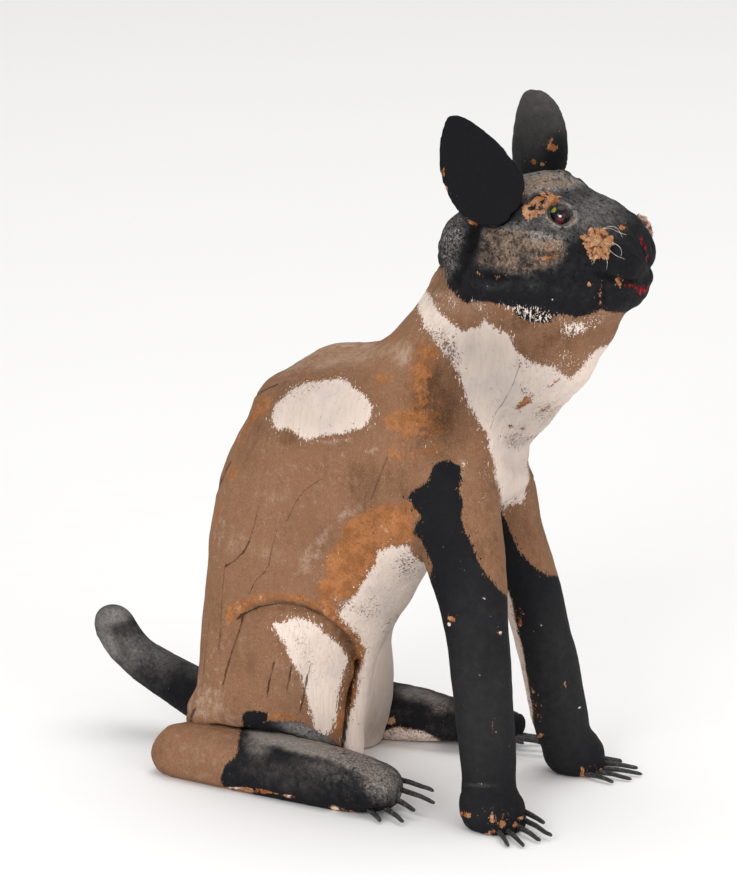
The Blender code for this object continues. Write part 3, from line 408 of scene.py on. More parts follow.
class CatPaint(bpy.types.PropertyGroup):
    """Colours of the earth paints and of the wood under them"""
    brown: FloatVectorProperty(name="Brown", description="Brown paint", size=4, min=0, max=1,
                               default=linear(138, 101, 76), subtype="COLOR")
    umber: FloatVectorProperty(name="Umber", description="Dark parts of the brown paint", size=4,
                               min=0, max=1, default=linear(98, 68, 46), subtype="COLOR")
    clay: FloatVectorProperty(name="Clay", description="Pale, dusty parts of the brown paint", size=4,
                              min=0, max=1, default=linear(172, 145, 122), subtype="COLOR")
    black: FloatVectorProperty(name="Black", description="Black paint", size=4, min=0, max=1,
                               default=linear(27, 27, 30), subtype="COLOR")
    dust: FloatVectorProperty(name="Dust", description="Cool grey dust and rubbed places", size=4,
                              min=0, max=1, default=linear(156, 151, 147), subtype="COLOR")
    earth: FloatVectorProperty(name="Earth", description="Warm dust in the hollows of the head", size=4,
                               min=0, max=1, default=linear(166, 142, 122), subtype="COLOR")
    powder: FloatVectorProperty(name="Powder", description="Pale dust that lies on the brown paint", size=4,
                                min=0, max=1, default=linear(184, 158, 142), subtype="COLOR")
    white: FloatVectorProperty(name="White", description="Pinkish white paint", size=4, min=0, max=1,
                               default=linear(236, 218, 205), subtype="COLOR")
    bare: FloatVectorProperty(name="Bare wood", description="Orange wood where the paint has gone", size=4,
                              min=0, max=1, default=linear(164, 100, 56), subtype="COLOR")
    pale_bare: FloatVectorProperty(name="Pale wood", description="Pale places in the bare wood", size=4,
                                   min=0, max=1, default=linear(204, 160, 126), subtype="COLOR")
    red: FloatVectorProperty(name="Red", description="Red paint of the mouth and the nose", size=4,
                             min=0, max=1, default=linear(184, 38, 46), subtype="COLOR")


class CatFittings(bpy.types.PropertyGroup):
    """Eyes, whisker pads and whiskers"""
    fibres: IntProperty(name="Fibres", description="Short fibres on one whisker pad",
                        default=220, min=0, max=600)
    fibre_length: FloatProperty(name="Fibre length", description="Length of a pad's longest short fibre",
                                default=0.007, min=0.001, max=0.03, unit="LENGTH", subtype="DISTANCE")
    whisker_thickness: FloatProperty(name="Whisker thickness", description="Diameter of a long whisker",
                                     default=0.0005, min=0.0002, max=0.002, unit="LENGTH", subtype="DISTANCE")


class CatStage(bpy.types.PropertyGroup):
    """Floor and studio light"""
    floor_colour: FloatVectorProperty(name="Floor", description="Colour of the floor", size=4, min=0, max=1,
                                      default=(0.93, 0.93, 0.93, 1.0), subtype="COLOR")
    key_power: FloatProperty(name="Main light", description="Power of the large light left of the camera",
                             default=44.0, min=0.0, max=2000.0, subtype="POWER", unit="POWER")
    side_power: FloatProperty(name="Side light", description="Power of the light in front of the cat",
                              default=16.0, min=0.0, max=2000.0, subtype="POWER", unit="POWER")
    top_power: FloatProperty(name="Top light", description="Power of the wide light over the cat",
                             default=150.0, min=0.0, max=2000.0, subtype="POWER", unit="POWER")
    room_light: FloatProperty(name="Room light", description="Brightness of the room all round",
                              default=0.66, min=0.0, max=5.0, subtype="FACTOR")


# Places in the picture

def camera_axes():
    """Right, up and backward directions of the camera, from its azimuth and elevation."""
    a, e = math.radians(CAMERA_AZIMUTH), math.radians(CAMERA_ELEVATION)
    back = np.array([math.sin(a) * math.cos(e), -math.cos(a) * math.cos(e), math.sin(e)])
    right = np.array([math.cos(a), math.sin(a), 0.0])
    return right, np.cross(back, right), back


CAMERA_RIGHT, CAMERA_UP, CAMERA_BACK = camera_axes()
CAMERA_PLACE = np.array(CAMERA_TARGET) + CAMERA_BACK * CAMERA_DISTANCE


def in_picture(points):
    """Pixel of each point: its offset from the camera over its depth, times the focal length in pixels."""
    away = points - CAMERA_PLACE
    depth = -(away @ CAMERA_BACK)
    return np.stack([PICTURE[0] / 2 + FOCAL_PIXELS * (away @ CAMERA_RIGHT) / depth,
                     PICTURE[1] / 2 - FOCAL_PIXELS * (away @ CAMERA_UP) / depth], 1)


def on_plane(pixels, through):
    """Places on the upright plane across the camera's view that holds a given place, for pixels."""
    pixels = np.asarray(pixels, float)
    rays = (CAMERA_RIGHT * (pixels[:, :1] - PICTURE[0] / 2) - CAMERA_UP * (pixels[:, 1:] - PICTURE[1] / 2)
            - CAMERA_BACK * FOCAL_PIXELS)
    return CAMERA_PLACE + rays * ((through - CAMERA_PLACE) @ CAMERA_BACK / (rays @ CAMERA_BACK))[:, None]


def from_line(places, line):
    """Distance from each place to a polyline, in the places' own unit and in any number of dimensions."""
    line = np.asarray(line, float)
    best = np.full(len(places), np.inf)
    for a, b in zip(line, line[1:]):
        run = b - a
        share = np.clip((places - a) @ run / max(run @ run, 1e-12), 0, 1)
        best = np.minimum(best, np.linalg.norm(places - a - share[:, None] * run, axis=1))
    return best


def inside(places, outline):
    """Signed distance to a closed outline in the picture, in metres, positive inside.

    A place is inside where a level line from it crosses the outline an odd number of times."""
    outline = np.asarray(outline, float)
    odd = np.zeros(len(places), bool)
    x, y = places.T
    for (ax, ay), (bx, by) in zip(outline, np.roll(outline, -1, 0)):
        crosses = (ay > y) != (by > y)
        if ay != by:
            odd ^= crosses & (x < (bx - ax) * (y - ay) / (by - ay) + ax)
    away = from_line(places, np.vstack([outline, outline[:1]])) * PIXEL
    return np.where(odd, away, -away)


def signed_from_line(places, line):
    """Distance to a polyline in the picture in pixels, positive on its one side, negative on the other."""
    line = np.asarray(line, float)
    best, signed = np.full(len(places), np.inf), np.zeros(len(places))
    for a, b in zip(line, line[1:]):
        run, away = b - a, places - a
        share = np.clip(away @ run / (run @ run), 0, 1)
        gap = np.linalg.norm(away - share[:, None] * run, axis=1)
        side = np.where(run[0] * away[:, 1] - run[1] * away[:, 0] > 0, 1.0, -1.0)
        signed = np.where(gap < best, gap * side, signed)
        best = np.minimum(best, gap)
    return signed


def oval_radius(places, x, y, half_x, half_y, lean=0.0):
    """Radius of each place in a leaning oval: nothing in its middle and one on its rim."""
    c, s = math.cos(math.radians(lean)), math.sin(math.radians(lean))
    dx, dy = places[:, 0] - x, places[:, 1] - y
    return np.hypot((dx * c + dy * s) / half_x, (dy * c - dx * s) / half_y)


def amounts(places, rows):
    """Sum of soft spots, each an amount times a smooth step that falls from the oval's middle to its rim."""
    total = np.zeros(len(places))
    for amount, *oval in rows:
        share = np.clip(1.25 * (1 - oval_radius(places, *oval)), 0, 1)
        total += amount * share * share * (3 - 2 * share)
    return total


def ovals(places, rows):
    """Signed distance into the nearest of several leaning ovals, in metres, as if each were round."""
    best = np.full(len(places), -0.02)
    for row in rows:
        best = np.maximum(best, (1 - oval_radius(places, *row)) * min(row[2:4]) * PIXEL)
    return best


def smooth_step(value, low, high):
    """Nothing below low, one above high, and a smooth rise between them."""
    t = np.clip((value - low) / (high - low), 0, 1)
    return t * t * (3 - 2 * t)


def hump(gap, width):
    """One where the gap is nothing, falling off as a bell of that width on both sides."""
    return np.exp(-(gap / width) ** 2)


# Noise as whole arrays

def scrambled(x, y, z, seed):
    """Repeatable number from nothing to one for each whole-numbered corner of a lattice."""
    mixed = (x.astype(np.uint32) * np.uint32(374761393) + y.astype(np.uint32) * np.uint32(668265263)
             + z.astype(np.uint32) * np.uint32(2246822519) + np.uint32(seed * 144665 + 1013))
    mixed ^= mixed >> np.uint32(13)
    mixed *= np.uint32(1274126177)
    mixed ^= mixed >> np.uint32(16)
    return mixed.astype(np.float64) / 4294967295.0


def noise(points, size, seed=0):
    """Smooth noise from -1 to 1: corner numbers of a lattice of that size, eased between the corners."""
    scaled = points / size + 1000.5
    corner = np.floor(scaled)
    part = scaled - corner
    ease = part * part * (3 - 2 * part)
    corner = corner.astype(np.int64)
    total = np.zeros(len(points))
    for dx in (0, 1):
        for dy in (0, 1):
            for dz in (0, 1):
                weight = np.ones(len(points))
                for axis, step in enumerate((dx, dy, dz)):
                    weight = weight * (ease[:, axis] if step else 1 - ease[:, axis])
                total += weight * scrambled(corner[:, 0] + dx, corner[:, 1] + dy, corner[:, 2] + dz, seed)
    return total * 2 - 1


def layered(points, size, layers=3, seed=0):
    """Sum of noises, each half the size and half the height of the one before."""
    total = np.zeros(len(points))
    for layer in range(layers):
        total += noise(points, size / 2**layer, seed + 17 * layer) / 2**layer
    return total


def blotches(pixels, size, layers, seed):
    """Layered noise over the picture, its size in pixels."""
    return layered(np.column_stack([pixels, 0 * pixels[:, 0]]), size, layers, seed)


def facets(points, size, seed=0):
    """Shallow knife cuts: height of each point over the plane of the cut whose middle is nearest.

    Every lattice cell has one middle at a scrambled place and one plane at a scrambled tilt."""
    scaled = points / size + 500.0
    cell = np.floor(scaled).astype(np.int64)
    best = np.full(len(points), np.inf)
    height = np.zeros(len(points))
    for dx in (-1, 0, 1):
        for dy in (-1, 0, 1):
            for dz in (-1, 0, 1):
                here = cell + np.array([dx, dy, dz])
                middle = here + np.stack([scrambled(*here.T, seed + k) for k in (1, 2, 3)], 1)
                tilt = np.stack([scrambled(*here.T, seed + k) for k in (4, 5, 6)], 1) * 2 - 1
                away = scaled - middle
                gap = (away**2).sum(1)
                nearer = gap < best
                best = np.where(nearer, gap, best)
                height = np.where(nearer, (away * tilt).sum(1), height)
    return height


# Meshes

def turned(points, degrees=HEAD_TURN):
    """Points turned with the head about its upright axis."""
    angle = math.radians(degrees)
    c, s = math.cos(angle), math.sin(angle)
    pivot = np.array([HEAD_PIVOT, 0.0, 0.0])
    return (points - pivot) @ np.array([[c, -s, 0.0], [s, c, 0.0], [0.0, 0.0, 1.0]]).T + pivot


def mirrored_head(points):
    """Points mirrored in the head's own middle plane."""
    return turned(turned(points, -HEAD_TURN) * MIRROR)


def mirrored_way(ways):
    """Directions mirrored in the head's own middle plane."""
    return mirrored_head(ways) - mirrored_head(np.zeros((1, 3)))


def box_of(name):
    """Middle and size of a CAD node's box."""
    lowest, highest = (np.array(corner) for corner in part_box(name))
    return (lowest + highest) / 2, highest - lowest


def merged_copy(name):
    """Copy of a CAD node's mesh, with its loose triangles merged."""
    work = bmesh.new()
    work.from_mesh(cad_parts[name].data)
    bmesh.ops.remove_doubles(work, verts=work.verts, dist=MERGE_DISTANCE)
    mesh = bpy.data.meshes.new(name + "_copy")
    work.to_mesh(mesh)
    work.free()
    return mesh


def even_skin(mesh, grid, smoothing=SMOOTHING):
    """The mesh as an even net of small quads, smoothed over the old edges."""
    rough = bpy.data.objects.new("rough", mesh)
    bpy.context.scene.collection.objects.link(rough)
    net = rough.modifiers.new("net", "REMESH")
    net.mode = "VOXEL"
    net.voxel_size = grid
    ease = rough.modifiers.new("ease", "SMOOTH")
    ease.factor = 0.5
    ease.iterations = smoothing
    graph = bpy.context.evaluated_depsgraph_get()
    result = bpy.data.meshes.new_from_object(rough.evaluated_get(graph), depsgraph=graph)
    bpy.data.objects.remove(rough)
    bpy.data.meshes.remove(mesh)
    return result


def points_of(mesh):
    """Places of a mesh's points and their normals, as arrays."""
    count = len(mesh.vertices)
    places, normals = np.empty(count * 3), np.empty(count * 3)
    mesh.vertices.foreach_get("co", places)
    mesh.vertex_normals.foreach_get("vector", normals)
    return places.reshape(-1, 3), normals.reshape(-1, 3)


def finer(mesh, chosen):
    """Split the faces around the chosen points once more; chosen is a function of the points."""
    near = chosen(points_of(mesh)[0])
    work = bmesh.new()
    work.from_mesh(mesh)
    work.verts.ensure_lookup_table()
    edges = [edge for edge in work.edges if near[edge.verts[0].index] and near[edge.verts[1].index]]
    bmesh.ops.subdivide_edges(work, edges=edges, cuts=1, use_grid_fill=True, smooth=0.0)
    work.to_mesh(mesh)
    work.free()


def move_points(mesh, places):
    """Give a mesh's points new places, none of them under the ground."""
    places = np.column_stack([places[:, :2], np.maximum(places[:, 2], 0.0)])
    mesh.vertices.foreach_set("co", places.ravel())
    mesh.update()


def keep_fields(mesh, **fields):
    """Store arrays of one number per point as attributes that the materials read."""
    for name, values in fields.items():
        layer = mesh.attributes.new(name, "FLOAT", "POINT")
        layer.data.foreach_set("value", np.asarray(values, np.float32))


def add_piece(name, mesh, finish, replaced=()):
    """Put a piece into the scene: smooth, riding on the one body, and standing for its CAD nodes."""
    mesh.name = name
    mesh.materials.clear()
    mesh.materials.append(finish)
    mesh.polygons.foreach_set("use_smooth", np.ones(len(mesh.polygons), bool))
    piece = bpy.data.objects.new(name, mesh)
    bpy.context.scene.collection.objects.link(piece)
    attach(piece, "root")
    if replaced:
        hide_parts(*replaced)
    return piece


def grid_mesh(name, surface, close_u=True, poles=False):
    """Mesh of a grid of points [row, column, xyz]: a closed skin where rows close round, or a flat sheet.

    The end rows of a closed skin are poles or get a cap."""
    rows, columns, _ = surface.shape
    index = np.arange(rows * columns).reshape(rows, columns)
    across = np.roll(index, -1, 1) if close_u else index[:, 1:]
    first = index if close_u else index[:, :-1]
    quads = np.stack([first[:-1], across[:-1], across[1:], first[1:]], -1).reshape(-1, 4)
    mesh = bpy.data.meshes.new(name)
    mesh.from_pydata(surface.reshape(-1, 3).tolist(), [], quads.tolist())
    work = bmesh.new()
    work.from_mesh(mesh)
    if poles:
        bmesh.ops.remove_doubles(work, verts=work.verts, dist=1e-7)
    open_edges = [edge for edge in work.edges if edge.is_boundary]
    if close_u and open_edges:
        bmesh.ops.holes_fill(work, edges=open_edges, sides=0)
    bmesh.ops.recalc_face_normals(work, faces=work.faces)
    work.to_mesh(mesh)
    work.free()
    return mesh


def unit_ball(rows, columns):
    """Grid of a ball: sine and cosine of the way down times those of the way round."""
    down = np.linspace(0, math.pi, rows)[:, None]
    around = np.arange(columns)[None] * 2 * math.pi / columns
    across = np.sin(down)
    return np.stack([across * np.cos(around), across * np.sin(around), np.cos(down) + 0 * around], -1)


def tube(path, radii, around):
    """Grid of a round profile carried along a path: middle plus radius times a turning pair of normals."""
    path = np.asarray(path, float)
    way = np.gradient(path, axis=0)
    way /= np.linalg.norm(way, axis=1)[:, None]
    helper = np.where(np.abs(way[:, 2:]) < 0.9, np.array([[0.0, 0.0, 1.0]]), np.array([[1.0, 0.0, 0.0]]))
    one = np.cross(way, helper)
    one /= np.linalg.norm(one, axis=1)[:, None]
    two = np.cross(way, one)
    angle = np.arange(around) * 2 * math.pi / around
    spread = np.cos(angle)[None, :, None] * one[:, None] + np.sin(angle)[None, :, None] * two[:, None]
    return path[:, None] + spread * np.asarray(radii, float)[:, None, None]


def joined(name, meshes):
    """One mesh that holds several."""
    work = bmesh.new()
    for mesh in meshes:
        work.from_mesh(mesh)
        bpy.data.meshes.remove(mesh)
    result = bpy.data.meshes.new(name)
    work.to_mesh(result)
    work.free()
    return result


# Nodes of the materials

class Wire:
    """Result of a shader node; sums, products and the like of it are Math nodes."""

    def __init__(self, tree, socket):
        self.tree, self.socket = tree, socket

    def math(self, operation, *values):
        made = self.tree.nodes.new("ShaderNodeMath")
        made.operation = operation
        for socket, value in zip(made.inputs, values):
            feed(socket, value)
        return Wire(self.tree, made.outputs[0])

    def __add__(self, other):
        return self.math("ADD", self, other)

    def __sub__(self, other):
        return self.math("SUBTRACT", self, other)

    def __rsub__(self, other):
        return self.math("SUBTRACT", other, self)

    def __mul__(self, other):
        return self.math("MULTIPLY", self, other)

    def __truediv__(self, other):
        return self.math("DIVIDE", self, other)

    def __abs__(self):
        return self.math("ABSOLUTE", self)

    def most(self, other):
        return self.math("MAXIMUM", self, other)


def feed(socket, value):
    """Link a socket to a wire, or set its own value."""
    if isinstance(value, Wire):
        value.tree.links.new(value.socket, socket)
    else:
        socket.default_value = value


def level(value, low, high, start=0.0, end=1.0):
    """Smooth rise from start to end while the value goes from low to high."""
    made = value.tree.nodes.new("ShaderNodeMapRange")
    made.interpolation_type = "SMOOTHSTEP"
    for name, given in (("Value", value), ("From Min", low), ("From Max", high), ("To Min", start),
                        ("To Max", end)):
        feed(made.inputs[name], given)
    return Wire(value.tree, made.outputs["Result"])


def mixed(amount, first, second, way="MIX"):
    """Mix of two colours."""
    made = amount.tree.nodes.new("ShaderNodeMix")
    made.data_type = "RGBA"
    made.blend_type = way
    for name, given in (("Factor", amount), (6, first), (7, second)):
        feed(made.inputs[name], given)
    return Wire(amount.tree, made.outputs[2])


def speckle(place, scale, detail=2.0, roughness=0.5, distortion=0.0):
    """Noise of a number of features per metre."""
    made = place.tree.nodes.new("ShaderNodeTexNoise")
    for name, given in (("Vector", place), ("Scale", scale), ("Detail", detail), ("Roughness", roughness),
                        ("Distortion", distortion)):
        feed(made.inputs[name], given)
    return Wire(place.tree, made.outputs["Fac"])


def stretched(place, x, y, z):
    """Place multiplied by three numbers, so that a pattern is drawn out along an axis."""
    made = place.tree.nodes.new("ShaderNodeVectorMath")
    made.operation = "MULTIPLY"
    feed(made.inputs[0], place)
    made.inputs[1].default_value = (x, y, z)
    return Wire(place.tree, made.outputs[0])


def field(tree, name):
    """One of the numbers stored on the mesh's points."""
    made = tree.nodes.new("ShaderNodeAttribute")
    made.attribute_name = name
    return Wire(tree, made.outputs["Fac"])


FINISH = (("Color", "Color"), ("Roughness", "Float"), ("Height", "Float"))


def new_group(name, outputs, **numbers):
    """Empty shader group that takes a place and numbers; returns its output sockets, then those it takes."""
    tree = bpy.data.node_groups.new(name, "ShaderNodeTree")
    tree.interface.new_socket(name="Place", in_out="INPUT", socket_type="NodeSocketVector")
    for label, value in numbers.items():
        number = tree.interface.new_socket(name=label, in_out="INPUT", socket_type="NodeSocketFloat")
        number.default_value = value
    for label, kind in outputs:
        tree.interface.new_socket(name=label, in_out="OUTPUT", socket_type="NodeSocket" + kind)
    start, end = tree.nodes.new("NodeGroupInput"), tree.nodes.new("NodeGroupOutput")
    return (end.inputs, *(Wire(tree, start.outputs[label]) for label in ("Place", *numbers)))


def close_finish(out, colour, rough, high):
    """Link the three results of a finish to its output sockets."""
    for (label, _), value in zip(FINISH, (colour, rough, high)):
        feed(out[label], value)


def placed_group(tree, name, **values):
    """Use of a group in a tree, with its inputs given by name; returns its results."""
    made = tree.nodes.new("ShaderNodeGroup")
    made.node_tree = bpy.data.node_groups[name]
    for label, value in values.items():
        feed(made.inputs[label], value)
    return tuple(Wire(tree, socket) for socket in made.outputs)


def build_groups(paint):
    """Groups that the wooden pieces share: ragged paint edges and the four finishes."""
    # Ragged edge: a signed distance wavers with broad and bristly noise, and flecks and holes lie near it
    out, place, distance, waver, fleck, softness = new_group(
        "Ragged edge", (("Mask", "Float"),), Distance=0.0, Waver=0.003, Fleck=0.008, Softness=0.0006)
    broad = speckle(stretched(place, 1, 1, 0.5), 90.0, 2.0, 0.6)
    bristle = speckle(stretched(place, 1, 1, 0.22), 640.0, 2.0, 0.6)
    fine = speckle(place, 1100.0, 2.0, 0.6)
    drift = ((bristle - 0.5) + (fine - 0.5) + (broad - 0.5) * 0.6) * (waver * 2.0)
    spots = level(speckle(stretched(place, 1, 1, 0.4), 560.0, 3.0, 0.62), 0.57, 0.74)
    holes = level(speckle(stretched(place, 1.2, 1.2, 0.8), 410.0, 3.0, 0.66), 0.60, 0.75)
    feed(out["Mask"], level(distance + drift + (spots - holes) * fleck, softness * -1.0, softness))

    # Brown paint: broad shades, brushed streaks along the grain and fine grit
    out, place, shade, dusty = new_group("Brown paint", FINISH, Shade=0.0, Powder=0.0)
    broad = speckle(place, 22.0, 3.0, 0.6, 0.4)
    streak = speckle(stretched(place, 1, 1, 0.12), 260.0, 4.0, 0.62)
    grit = speckle(place, 900.0, 2.0, 0.6)
    mottle = speckle(place, 160.0, 4.0, 0.65)
    tone = (broad - 0.5) * 1.1 + ((mottle - 0.5) * 0.9 + (streak - 0.5) * 0.6) + shade
    colour = mixed(level(tone, 0.0, -0.75), paint.brown, paint.umber)
    colour = mixed(level(tone, 0.0, 0.85), colour, paint.clay)
    colour = mixed(level(grit, 0.56, 0.72, 0.0, 0.5), colour, paint.clay)
    colour = mixed(level(grit, 0.43, 0.30, 0.0, 0.55), colour, paint.umber)
    colour = mixed(level(mottle * 1.4 + grit * 0.5 + dusty * 0.7, 1.10, 1.7, 0.0, 0.6), colour, paint.powder)
    close_finish(out, colour, level(mottle, 0.3, 0.7, 0.86, 0.72), streak * 0.7 + grit * 0.35)

    # Black paint: dusty on its high places and rubbed thin where Dust is high
    out, place, dust, warmth, grit = new_group("Black paint", FINISH, Dust=0.0, Warmth=0.0, Grit=1.0)
    cloud = speckle(place, 75.0, 4.0, 0.7)
    powder = speckle(place, 520.0, 4.0, 0.72)
    pit = speckle(place, 330.0, 2.0, 0.5)
    crumb = speckle(place, 190.0, 5.0, 0.72)
    patchy = (crumb - 0.5) * (dust * 1.3 + (warmth * 0.9 + 0.25))
    amount = level(dust + (cloud - 0.5) * (grit * 0.45) + patchy * grit, 0.0, 1.0)
    amount = amount * level(powder, 0.35, 0.68, 1.0 - grit * 0.7, 1.0)
    lying = mixed(level(warmth + (cloud - 0.5) * 0.8, 0.2, 0.9), paint.dust, paint.earth)
    hole = level(pit, 0.40, 0.30, 0.0, 0.8) * level(grit, 0.2, 1.0)
    colour = mixed(hole, mixed(amount, paint.black, lying), (0.008, 0.008, 0.009, 1.0))
    close_finish(out, colour, level(powder, 0.35, 0.7, 0.62, 0.86),
                 powder * 0.7 + (crumb - hole) * (dust + 0.8))

    # White paint: brushed, slightly pink, with fine dark pits
    out, place, soil = new_group("White paint", FINISH, Soil=0.0)
    brushed = speckle(stretched(place, 1, 1, 0.14), 420.0, 3.0, 0.6)
    cloud = speckle(place, 45.0, 3.0, 0.6)
    pit = speckle(stretched(place, 1, 1, 0.8), 640.0, 3.0, 0.6)
    soil = soil + (cloud - 0.5) * 0.6
    colour = mixed(level(brushed, 0.4, 0.75, 0.0, 0.35), paint.white, linear(203, 184, 172))
    colour = mixed(level(cloud, 0.45, 0.7, 0.0, 0.5), colour, linear(214, 199, 194))
    colour = mixed(level(soil * 0.40 + brushed, 0.62, 1.12, 0.0, 0.4), colour, linear(166, 138, 120))
    chip = level(speckle(place, 460.0, 4.0, 0.72) + soil * 0.145, 0.665, 0.71)
    holes = chip.most(level(pit + soil * 0.10, 0.70, 0.80))
    colour = mixed(holes * 0.8, colour, linear(112, 78, 62))
    close_finish(out, colour, level(brushed, 0.3, 0.7, 0.75, 0.6), brushed * 0.8 - holes)

    # Bare wood: orange and pale fibres with dark grain lines
    out, place = new_group("Bare wood", FINISH)
    fibre = speckle(stretched(place, 1, 1, 0.2), 380.0, 4.0, 0.7)
    cloud = speckle(place, 120.0, 4.0, 0.7)
    crumb = speckle(place, 760.0, 3.0, 0.65)
    knot = speckle(place, 270.0, 3.0, 0.7)
    colour = mixed(level(cloud, 0.38, 0.66), paint.bare, paint.pale_bare)
    colour = mixed(level(fibre, 0.42, 0.30), colour, linear(118, 66, 34))
    colour = mixed(level(crumb, 0.42, 0.28, 0.0, 0.8), colour, linear(84, 50, 32))
    colour = mixed(level(knot, 0.43, 0.33, 0.0, 0.8), colour, linear(74, 48, 34))
    close_finish(out, colour, level(crumb, 0.3, 0.7, 0.95, 0.8), fibre * 0.8 + crumb)


def new_material(name):
    """Material, its tree, its Principled shader and object coordinates, in metres in the cat's frame."""
    made = bpy.data.materials.new(name)
    made.use_nodes = True
    tree = made.node_tree
    place = Wire(tree, tree.nodes.new("ShaderNodeTexCoord").outputs["Object"])
    return made, tree, tree.nodes["Principled BSDF"], place


def bumped(shader, height, distance):
    """Bump on the shader's normal from a height."""
    made = height.tree.nodes.new("ShaderNodeBump")
    made.inputs["Distance"].default_value = distance
    feed(made.inputs["Height"], height)
    feed(shader.inputs["Normal"], Wire(height.tree, made.outputs["Normal"]))


def layer_over(below, above, mask):
    """One finish over another where the mask is one: colour, roughness and height."""
    rough, high = (low * (1.0 - mask) + top * mask for low, top in zip(below[1:], above[1:]))
    return mixed(mask, below[0], above[0]), rough, high


def wood_material(name, bump=0.0007):
    """Painted wood: brown, then white, then black paint, bare wood, red and dark cracks, each by a field,
    with painted shade over some places and in the carved hollows.
    """
    made, tree, shader, place = new_material(name)
    paint = settings()[1]

    def finish(name, *labels):
        given = {label.title(): field(tree, label) for label in labels}
        return placed_group(tree, name, Place=place, **given)

    def edge(label, waver, fleck, softness=0.0003):
        return placed_group(tree, "Ragged edge", Place=place, Distance=field(tree, label), Waver=waver,
                            Fleck=fleck, Softness=softness)[0]

    look, bare = finish("Brown paint", "shade", "powder"), finish("Bare wood")
    white, black = finish("White paint", "soil"), finish("Black paint", "dust", "warmth", "grit")
    rubbed = speckle(place, 210.0, 5.0, 0.75) * 1.5 + speckle(place, 45.0, 2.0, 0.5) * 0.7
    worn = level(field(tree, "wear") + rubbed, 1.46, 1.66)
    blotch, dots = speckle(place, 90.0, 4.0, 0.7), speckle(place, 620.0, 3.0, 0.7)
    stain = mixed(level(blotch, 0.38, 0.62), linear(146, 94, 56), linear(180, 118, 72))
    stain = mixed(level(dots, 0.47, 0.36, 0.0, 0.65), stain, linear(104, 66, 40))
    lying = field(tree, "rust") + (speckle(place, 170.0, 6.0, 0.82) - 0.5) * 2.6
    look = (mixed(level(lying, 0.34, 0.72, 0.0, 0.85), look[0], stain), *look[1:])
    look = layer_over(look, bare, worn * 0.8)
    look = layer_over(look, white, edge("white", 0.0034, 0.009, 0.0005))
    look = layer_over(look, black, edge("black", 0.0022, 0.006, 0.0005))
    colour, rough, high = layer_over(look, bare, edge("bare", 0.0012, 0.0036))
    red = mixed(level(speckle(place, 330.0), 0.45, 0.68), linear(66, 16, 14), paint.red)
    colour = mixed(edge("red", 0.0010, 0.0022), colour, red)

    # Cracks are dark lines of uneven width, and flecks are short dashes of the white paint
    width = field(tree, "split_width")
    ragged = level(speckle(stretched(place, 1, 1, 0.5), 330.0, 3.0, 0.6), 0.3, 0.7, 0.35, 1.7)
    line = level(abs(field(tree, "split")) / (width * ragged), 0.5, 1.3, 1.0, 0.0)
    line = line * level(field(tree, "split_near"), 0.0015, 0.0026, 1.0, 0.0)
    line = line * level(width, 0.0002, 0.0008, 0.4, 1.0)
    line = line * level(speckle(place, 70.0, 2.0), 0.38, 0.55, 0.45, 1.0)
    dash = speckle(stretched(place, 1, 1, 0.25), 860.0, 2.0, 0.55).most(speckle(place, 640.0, 3.0, 0.62))
    dash = level(dash + field(tree, "fleck") * 0.22, 0.775, 0.815).most(edge("pale", 0.0004, 0.0008))
    dark = line.most(level(field(tree, "crack"), 0.25, 0.9))
    colour = mixed(dash, colour, paint.white)
    # Painted shade: this field darkens the colour towards black
    colour = mixed(field(tree, "dullness"), colour, (0.0, 0.0, 0.0, 1.0))
    colour = mixed(dark * 0.9, colour, linear(42, 27, 19))
    # Painted shade in the places that the carving sets in, darker the deeper they are
    shadow = level(field(tree, "hollow"), 0.0, 1.0, 0.0, 0.55)
    feed(shader.inputs["Base Color"], mixed(shadow, colour, (0.02, 0.013, 0.009, 1.0), "MULTIPLY"))
    feed(shader.inputs["Roughness"], rough)
    shader.inputs["Specular IOR Level"].default_value = 0.06
    bumped(shader, high + dash * 0.5 - line * 1.5, bump)
    return made


def eye_material(name):
    """Dark glass with a green and yellow swirl, dark red patches, a painted highlight and a glossy face."""
    made, tree, shader, place = new_material(name)
    swirl = speckle(place, 420.0, 3.0, 0.6, 1.2)
    green = field(tree, "green") + (swirl - 0.5) * 1.2
    glow = field(tree, "glow") + (swirl - 0.5) * 0.8
    colour = mixed(level(green, 0.25, 0.8), (0.005, 0.005, 0.006, 1.0), linear(132, 140, 52))
    colour = mixed(level(glow, 0.2, 0.9), colour, linear(96, 34, 46))
    # Painted highlight: a small pinkish white spot of colour on the marble
    colour = mixed(level(field(tree, "spark"), 0.3, 0.7), colour, linear(240, 206, 214))
    feed(shader.inputs["Base Color"], colour)
    feed(shader.inputs["Roughness"], level(swirl, 0.3, 0.7, 0.05, 0.12))
    shader.inputs["IOR"].default_value = 1.33
    bumped(shader, swirl, 0.00004)
    return made


def gum_material(name, main, light, deep):
    """Crumbly resin: a main and a light colour by its folds, painted shade in its creases, and dark fine
    crumbs.
    """
    made, tree, shader, place = new_material(name)
    fold = speckle(place, 330.0, 4.0, 0.7)
    crumb = speckle(place, 1100.0, 2.0, 0.6)
    colour = mixed(level(fold, 0.45, 0.68), main, light)
    # Painted shade: the colour turns dark in the pad's creases
    colour = mixed(level(field(tree, "hollow"), 0.0, 1.0), colour, deep)
    colour = mixed(level(crumb, 0.40, 0.28, 0.0, 0.7), colour, deep)
    feed(shader.inputs["Base Color"], colour)
    feed(shader.inputs["Roughness"], level(crumb, 0.3, 0.7, 0.95, 0.75))
    shader.inputs["Subsurface Weight"].default_value = 0.05
    shader.inputs["Subsurface Radius"].default_value = (0.002, 0.001, 0.0006)
    bumped(shader, fold + crumb * 0.5, 0.0006)
    return made


